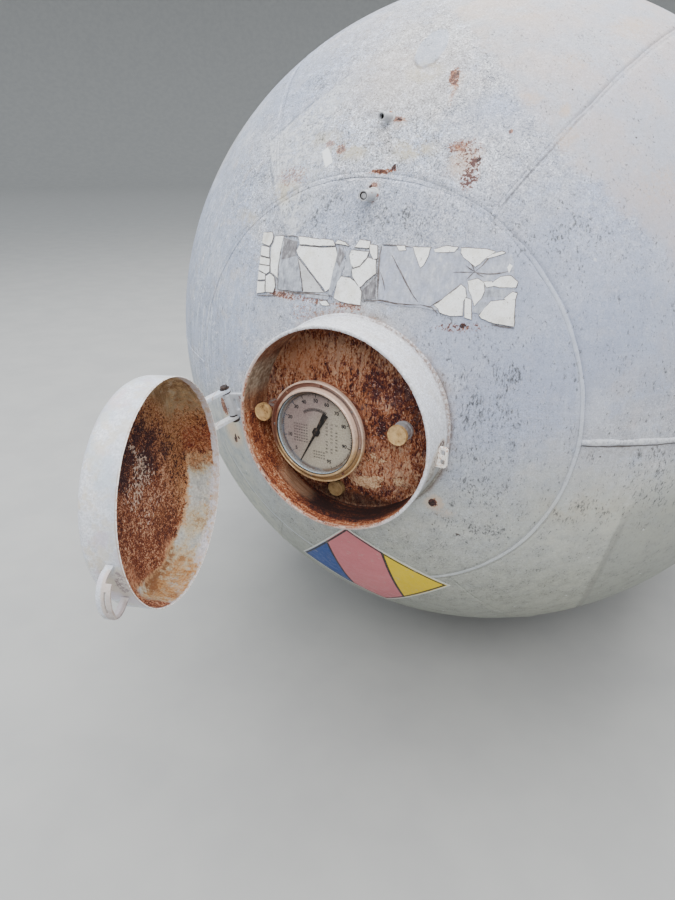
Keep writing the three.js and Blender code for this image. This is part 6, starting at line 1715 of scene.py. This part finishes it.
# what is left of the white coat, as shares of the strip's length and height
WHITE = [
    [(0, .82), (.015, .80), (.045, .79), (.055, .84), (.06, .93), (.05, 1), (0, .98)],
    [(0, .78), (.045, .77), (.052, .62), (0, .63)],
    [(0, .61), (.055, .60), (.058, .50), (0, .50)],
    [(0, .48), (.06, .49), (.062, .40), (.045, .36), (0, .40)],
    [(0, .38), (.04, .35), (.042, .27), (0, .24)],
    [(0, .22), (.042, .25), (.045, .08), (0, .03)],
    [(.045, .33), (.065, .38), (.09, .34), (.10, .2), (.09, .1), (.05, .08)],
    [(.055, .78), (.065, .85), (.07, .95), (.115, .97), (.11, .75), (.105, .5), (.11, .33), (.095, .36), (.072, .40), (.066, .48), (.06, .62)],
    [(.20, .86), (.30, .87), (.365, .90), (.375, .80), (.355, .30), (.34, .26), (.33, .30), (.27, .50), (.20, .72), (.19, .78)],
    [(.19, .99), (.35, .99), (.36, .92), (.29, .89), (.20, .88)],
    [(.43, .88), (.50, .88), (.495, .80), (.47, .68), (.445, .64), (.432, .70), (.425, .80)],
    [(.40, .98), (.42, .93), (.36, .95), (.37, 1.0)],
    [(.44, .92), (.50, .93), (.50, 1.02), (.46, 1.03)],
    [(.50, .98), (.53, .98), (.535, .8), (.52, .78), (.505, .86)],
    [(.44, .62), (.47, .66), (.50, .80), (.53, .78), (.535, .60), (.50, .48), (.485, .40), (.475, .38), (.46, .45), (.445, .52)],
    [(.40, .50), (.435, .50), (.455, .45), (.475, .38), (.485, .32), (.485, .14), (.44, .14), (.40, .15), (.375, .18), (.38, .30), (.385, .42)],
    [(.66, .99), (.72, 1.0), (.715, .88), (.70, .75), (.69, .72), (.68, .80), (.67, .88)],
    [(.735, .94), (.80, .96), (.81, 1.02), (.77, 1.03), (.73, .98)],
    [(.82, 1.02), (.90, 1.02), (.93, .99), (.90, .90), (.885, .82), (.87, .78), (.85, .84), (.83, .90), (.82, .95)],
    [(.89, .88), (.92, .96), (.95, 1.0), (.96, .98), (.93, .93)],
    [(.745, .25), (.80, .44), (.83, .55), (.845, .50), (.85, .40), (.84, .33), (.84, .14), (.80, .12), (.765, .16), (.76, .2)],
    [(.85, .60), (.88, .64), (.90, .60), (.905, .48), (.895, .38), (.875, .28), (.865, .40), (.855, .48)],
    [(.845, .38), (.865, .36), (.868, .10), (.845, .12)],
    [(.925, .60), (.95, .68), (.98, .70), (1.005, .62), (1.0, .55), (.95, .54), (.92, .56)],
    [(.975, .72), (.985, .82), (.975, .85), (.968, .80)],
    [(.90, .60), (.925, .62), (.93, .55), (.91, .53)],
    [(.965, .40), (.99, .50), (1.005, .48), (1.0, .40), (.975, .36)],
    [(.90, .22), (.925, .36), (.96, .38), (1.0, .40), (1.0, .04), (.94, .07), (.90, .12), (.89, .16)],
    [(.315, .10), (.345, .13), (.36, .07), (.33, .05)],
    [(.60, .99), (.63, 1.0), (.635, .94), (.61, .93)],
]
OFFWHITE = [[(.20, .68), (.27, .47), (.335, .24), (.30, .22), (.24, .20), (.232, .35), (.215, .55)]]
GREY = [
    [(.115, .96), (.19, .92), (.19, .70), (.20, .66), (.215, .55), (.225, .40), (.235, .20), (.12, .16), (.11, .35), (.108, .6)],
    [(.375, .92), (.40, .80), (.41, .66), (.40, .52), (.385, .40), (.365, .22), (.35, .22), (.36, .5), (.37, .78)],
    [(.41, .82), (.42, .90), (.43, .72), (.44, .66), (.438, .52), (.41, .50)],
    [(.91, .50), (.96, .52), (.98, .42), (.94, .42), (.90, .40)],
    [(.87, .22), (.89, .34), (.92, .35), (.91, .26), (.89, .18)],
    [(.24, .20), (.30, .21), (.335, .24), (.36, .20), (.35, .14), (.25, .13)],
]
DARK = [
    [(.115, .95), (.19, .92), (.188, .70), (.16, .66), (.12, .62)],
    [(.487, .34), (.535, .56), (.54, .25), (.49, .22)],
    [(.378, .92), (.405, .80), (.39, .60), (.372, .70)],
]
LINES = [
    ([(.545, .97), (.54, .80), (.545, .55), (.548, .25)], 5), ([(.55, .62), (.565, .50), (.572, .38)], 2),
    ([(.585, .86), (.62, .66), (.655, .45), (.69, .27)], 3), ([(.73, .22), (.77, .33), (.80, .45), (.83, .56)], 3),
    ([(.868, .72), (.86, .80), (.845, .88), (.82, .95)], 2.6), ([(.868, .72), (.893, .82), (.92, .95), (.95, .99)], 2.6),
    ([(.868, .72), (.85, .77), (.84, .80)], 2), ([(.868, .72), (.83, .70), (.80, .69)], 2), ([(.868, .72), (.855, .66), (.845, .62)], 2),
    ([(.868, .72), (.885, .68), (.90, .66)], 2), ([(.868, .72), (.91, .71), (.95, .72), (.99, .76)], 2.4),
    ([(.11, .16), (.2, .16), (.3, .2), (.37, .20)], 4), ([(.49, .2), (.55, .24), (.62, .22), (.70, .24)], 3.5),
    ([(.20, .66), (.215, .52), (.23, .38), (.236, .2)], 4), ([(.108, .9), (.105, .6), (.11, .3), (.115, .17)], 3),
    ([(.41, .36), (.422, .30), (.425, .2)], 2), ([(.29, .82), (.293, .76)], 2), ([(.21, .89), (.25, .88), (.30, .90)], 2.5),
    ([(.545, .99), (.60, 1.0), (.66, .985)], 2), ([(.93, .05), (.97, .03), (1.0, .02)], 2.4), ([(0.0, .0), (.05, .03), (.11, .06)], 2.4),
    ([(.12, .98), (.16, .985), (.19, .97)], 2), ([(.70, .24), (.74, .22), (.76, .14)], 2.4), ([(.40, .145), (.44, .13), (.485, .135)], 2.6),
]
white, off_, film, dark, grime = [], [], [], [], []
for k, p in enumerate(WHITE):
    white.append(sheet(outline(p, 0.0028, 0.0011, k, -0.0006), -0.0008, 0.0010 + 0.0004 * RNG.rand(), 0.0003, k, 0.0006 * RNG.rand()))
    grime.append(sheet(outline(p, 0.0028, 0.0013, k, 0.0008), -0.0009, 0.00028, 0, k))
for k, p in enumerate(OFFWHITE):
    off_.append(sheet(outline(p, 0.0028, 0.0012, 60 + k, -0.0006), -0.0008, 0.0010, 0.0002, k))
    grime.append(sheet(outline(p, 0.0028, 0.0013, 60 + k, 0.0007), -0.0009, 0.00026, 0, k))
for k, p in enumerate(GREY):
    film.append(sheet(outline(p, 0.003, 0.0016, 80 + k, -0.0004), -0.0008, 0.00055, 0, k))
for k, p in enumerate(DARK):
    dark.append(sheet(outline(p, 0.003, 0.0020, 90 + k, -0.0006), -0.0008, 0.00080, 0, k))
for k, (p, w_) in enumerate(LINES):
    grime.append(scratch(p, w_ * 0.001, k, 0.00078))
bed = [sheet(outline([(.545, .97), (.70, .99), (.985, .97), (.995, .60), (1.0, .2), (.84, .17), (.70, .20), (.545, .2)], 0.004, 0.003, 120), -0.0008, 0.00014)]
V, F = join_parts(white)
make("strip_flakes", V, F, FLAKE, sharp=40)
V, F = join_parts(off_)
make("strip_flake_grey", V, F, FLAKE_G, sharp=40)
V, F = join_parts(film)
make("strip_film", V, F, FILM, sharp=40)
V, F = join_parts(dark)
make("strip_film_dark", V, F, FILM_D, sharp=40)
V, F = join_parts(bed)
make("strip_bed", V, F, FILM_B, sharp=40)
V, F = join_parts(grime)
make("strip_grime", V, F, GRIME, sharp=40)

# ---------------------------------------------------------------- banded square film under the hood
cT, cR, cL = np.array([-0.015, -0.351]), np.array([0.260, -0.525]), np.array([-0.256, -0.596])
cB = np.array([0.010, -0.748])
n = 64
s_, t_ = np.meshgrid(np.linspace(0, 1, n), np.linspace(0, 1, n), indexing='ij')
S3, T3 = s_[..., None], t_[..., None]
XZp = (1 - S3) * (1 - T3) * cT + S3 * (1 - T3) * cR + S3 * T3 * cB + (1 - S3) * T3 * cL
rim_ = np.minimum(np.minimum(s_, 1 - s_), np.minimum(t_, 1 - t_))
wob = 0.0005 * (1 + fbm(np.concatenate([XZp, 0 * S3], -1), 30, 2, 95)) + 0.0010 * np.clip(vnoise(np.concatenate([XZp, 0 * S3], -1), 16, 97), 0, 1) * (rim_ < 0.03)
top = on_head(XZp[..., 0], XZp[..., 1], 0.0003 + wob)
bot = on_head(XZp[..., 0], XZp[..., 1], -0.0015)
V, F = slab(top, bot)
uv = np.concatenate([np.stack([s_, t_], -1).reshape(-1, 2)] * 2)
make("banded_square", V, F, BANDS, uv=uv, sharp=50)


# ---------------------------------------------------------------- top fittings
Z0 = AZ + 1.067
V, F = lathe_up([(0, Z0 - 0.03), (0.0562, Z0 - 0.03), (0.0562, Z0 + 0.062), (0.0610, Z0 + 0.0700), (0.0935, Z0 + 0.0700), (0.0948, Z0 + 0.0712), (0.0948, Z0 + 0.0908), (0.0935, Z0 + 0.0920), (0, Z0 + 0.0920)], 0, MID, 96)
make("relief_nozzle_piece", V, F, SUPPORT, replaces=("relief_nozzle",), sharp=35)
V, F = lathe_up([(0, Z0 + 0.0925), (0.0868, Z0 + 0.0925), (0.0878, Z0 + 0.0935), (0.0878, Z0 + 0.1070), (0.0868, Z0 + 0.1082), (0.0705, Z0 + 0.1225), (0.0680, Z0 + 0.1240), (0.040, Z0 + 0.1290), (0.004, Z0 + 0.1316), (0, Z0 + 0.1316)], 0, MID, 96)
make("relief_cap_piece", V, F, STEEL_P, replaces=("relief_cap",), sharp=35)


def bolt_up(x, y, z, r, h, below, ph=0.0):
    t = np.linspace(0, 2 * math.pi, 6, endpoint=False) + ph
    ring6 = lambda rr, zz: np.stack([x + rr * np.cos(t), y + rr * np.sin(t), zz + 0 * t], -1)
    parts = [loft([ring6(r, z), ring6(r, z + h * 0.85), ring6(r * 0.86, z + h)], True, True)]
    tt = np.linspace(0, 2 * math.pi, 12, endpoint=False)
    c = lambda rr, zz: np.stack([x + rr * np.cos(tt), y + rr * np.sin(tt), zz + 0 * tt], -1)
    parts.append(loft([c(r * 0.5, z + h * 0.5), c(r * 0.5, z + h * 1.45), c(r * 0.38, z + h * 1.55)], True, True))
    parts.append(loft([ring6(r, below - h * 0.8), ring6(r, below)], True, True))
    return join_parts(parts)


V, F = join_parts([bolt_up(0.0915 * 0.0 + 0.0, MID, Z0, 0.001, 0.001, Z0)] and [screw_ for screw_ in [
    lathe_up([(0, Z0 + 0.0600), (0.0055, Z0 + 0.0600), (0.0055, Z0 + 0.0690), (0, Z0 + 0.0690)], 0.0765 * math.cos(a), MID + 0.0765 * math.sin(a), 6) for a in np.radians(np.arange(8) * 45 + 22.5)]])
make("nozzle_nuts", V, F, STEEL_D, sharp=30)
V, F = lathe_up([(0, 0.031), (0.0200, 0.031), (0.0218, 0.033), (0.0218, 0.0395), (0.0368, 0.0400), (0.0378, 0.0412), (0.0378, 0.0850), (0, 0.0850)], 0, MID, 64)
make("drain_coupling_piece", V, F, STEEL_R, replaces=("drain_coupling",), sharp=35)

# weld fillets of nozzle, drain and lug pads
parts = []
t = np.linspace(0, 2 * math.pi, 140, endpoint=False)
for r_, up_ in ((0.0568, 1), (0.0385, -1)):
    x_, y_ = r_ * np.cos(t), MID + r_ * np.sin(t)
    P = np.stack([x_, y_, AZ + up_ * np.sqrt(RV ** 2 - x_ ** 2)], -1)
    N = np.stack([P[:, 0], 0 * t, P[:, 2] - AZ], -1) / RV + np.stack([np.cos(t), np.sin(t), 0 * t], -1)
    parts.append(bead(P, N, 0.013, 0.0045, True, 65))
for y0 in (SADDLES[0] + 0.35, SADDLES[1] - 0.35):
    c4 = [(-0.090, -0.160), (0.090, -0.160), (0.090, 0.160), (-0.090, 0.160)]
    path, nn = [], []
    for i in range(4):
        a, b = np.array(c4[i]), np.array(c4[(i + 1) % 4])
        k = int(np.linalg.norm(b - a) / 0.006)
        dirn = (b - a) / np.linalg.norm(b - a)
        outw = np.array([dirn[1], -dirn[0]])
        for j in range(k):
            path.append(a + (b - a) * j / k)
            nn.append(outw)
    path, nn = np.array(path), np.array(nn)
    P = np.stack([path[:, 0], y0 + path[:, 1], AZ + np.sqrt(RV ** 2 - path[:, 0] ** 2)], -1)
    N = np.stack([P[:, 0] / RV + nn[:, 0], nn[:, 1], (P[:, 2] - AZ) / RV], -1)
    parts.append(bead(P, N, 0.012, 0.004, True, 66))
for y0 in (SADDLES[0] + 0.35, SADDLES[1] - 0.35):
    for sx in (-1, 1):
        y = np.linspace(y0 - 0.108, y0 + 0.108, 50)
        P = np.stack([sx * 0.0128 + 0 * y, y, Z0 + 0.0138 + 0 * y], -1)
        N = np.stack([sx + 0 * y, 0 * y, 1 + 0 * y], -1)
        parts.append(bead(P, N, 0.011, 0.003, False, 67))
V, F = join_parts(parts)
make("fitting_welds", V, F, WELD_WORN)

# ---------------------------------------------------------------- anchor bolts on the saddle feet
parts = []
for y0 in SADDLES:
    for sx in (-1, 1):
        for dx in (0.715, 0.430):
            for dy in (-0.085, 0.085):
                x, y = sx * dx, y0 + dy
                t6 = np.linspace(0, 2 * math.pi, 6, endpoint=False) + 0.3
                t12 = np.linspace(0, 2 * math.pi, 16, endpoint=False)
                c6 = lambda rr, zz: np.stack([x + rr * np.cos(t6), y + rr * np.sin(t6), zz + 0 * t6], -1)
                c12 = lambda rr, zz: np.stack([x + rr * np.cos(t12), y + rr * np.sin(t12), zz + 0 * t12], -1)
                parts.append(loft([c12(0.024, 0.0155), c12(0.024, 0.0190)], True, True))
                parts.append(loft([c6(0.0175, 0.0185), c6(0.0175, 0.0330), c6(0.0155, 0.0355)], True, True))
                parts.append(loft([c12(0.010, 0.030), c12(0.010, 0.0520), c12(0.0085, 0.0540)], True, True))
V, F = join_parts(parts)
make("saddle_anchor_nuts", V, F, STEEL_D, sharp=30)

# ---------------------------------------------------------------- hinge washers
HA = AXW
parts = []
ex = Vector((1, 0, 0))
ex = (ex - HA * ex.dot(HA)).normalized()
ey = HA.cross(ex)


def along(t0, r_, n_, ph=0.0):
    tt = np.linspace(0, 2 * math.pi, n_, endpoint=False) + ph
    return np.array([list(HPW + HA * t0 + ex * (r_ * math.cos(q)) + ey * (r_ * math.sin(q))) for q in tt])


for sgn in (-1, 1):
    parts.append(loft([along(sgn * 0.0440, 0.0130, 24), along(sgn * 0.0458, 0.0130, 24)], True, True))
    parts.append(loft([along(sgn * 0.0340, 0.0128, 24), along(sgn * 0.0322, 0.0128, 24)], True, True))
V, F = join_parts(parts)
make("hinge_washers", V, F, IRON, sharp=30)

# ---------------------------------------------------------------- floor, backdrop, light
g = NG("floor_pale", 0.75)
n_ = g.noise(3.0, 3, 0.6)
f_ = g.noise(140, 1, 0.6)
FLOOR = g.done(g.mix(g.smooth(n_, 0.3, 0.7), C(168, 168, 166), C(162, 162, 161)), 0.75, None, g.bump(f_, 0.0004, 0.3))
t = np.linspace(0, 2 * math.pi, 128, endpoint=False)
prof = [(0.5, 0.0), (10, 0.0), (30, 0.0), (44, 0.0)]
for a in np.linspace(0, math.pi / 2, 14)[1:]:
    prof.append((44 + 16 * math.sin(a), 16 * (1 - math.cos(a))))
prof.append((60, 34))
rows = np.stack([np.stack([r_ * np.cos(t), r_ * np.sin(t), h_ + 0 * t], -1) for r_, h_ in prof])
V, F = loft(rows, False, False)
F = [list(f) for f in F] + [list(range(len(t)))]
me = bpy.data.meshes.new("floor")
me.from_pydata(V.tolist(), [], F)
me.materials.append(FLOOR)
me.polygons.foreach_set("use_smooth", np.ones(len(me.polygons), bool))
floor = bpy.data.objects.new("floor", me)
bpy.context.scene.collection.objects.link(floor)

w = bpy.data.worlds.new("studio")
w.use_nodes = True
w.node_tree.nodes["Background"].inputs[0].default_value = (0.90, 0.95, 1.0, 1)
w.node_tree.nodes["Background"].inputs[1].default_value = 1.15
bpy.context.scene.world = w


def area(name, loc, target, size, power, color=(1, 1, 1)):
    d = bpy.data.lights.new(name, 'AREA')
    d.shape = 'RECTANGLE'
    d.size, d.size_y = size
    d.energy = power
    d.color = color
    ob = bpy.data.objects.new(name, d)
    bpy.context.scene.collection.objects.link(ob)
    ob.location = loc
    ob.rotation_euler = (Vector(target) - Vector(loc)).to_track_quat('-Z', 'Y').to_euler()
    return ob


area("key", (3.5, -9.5, 7.5), (0, -3.2, 1.2), (6, 6), 780, (1.0, 0.98, 0.95))
area("fill", (-8.5, -7.0, 4.5), (0, -2.8, 1.2), (6, 5), 330, (0.93, 0.97, 1.0))
area("top", (0, 0, 9.0), (0, 0, 1.0), (9, 12), 1500)
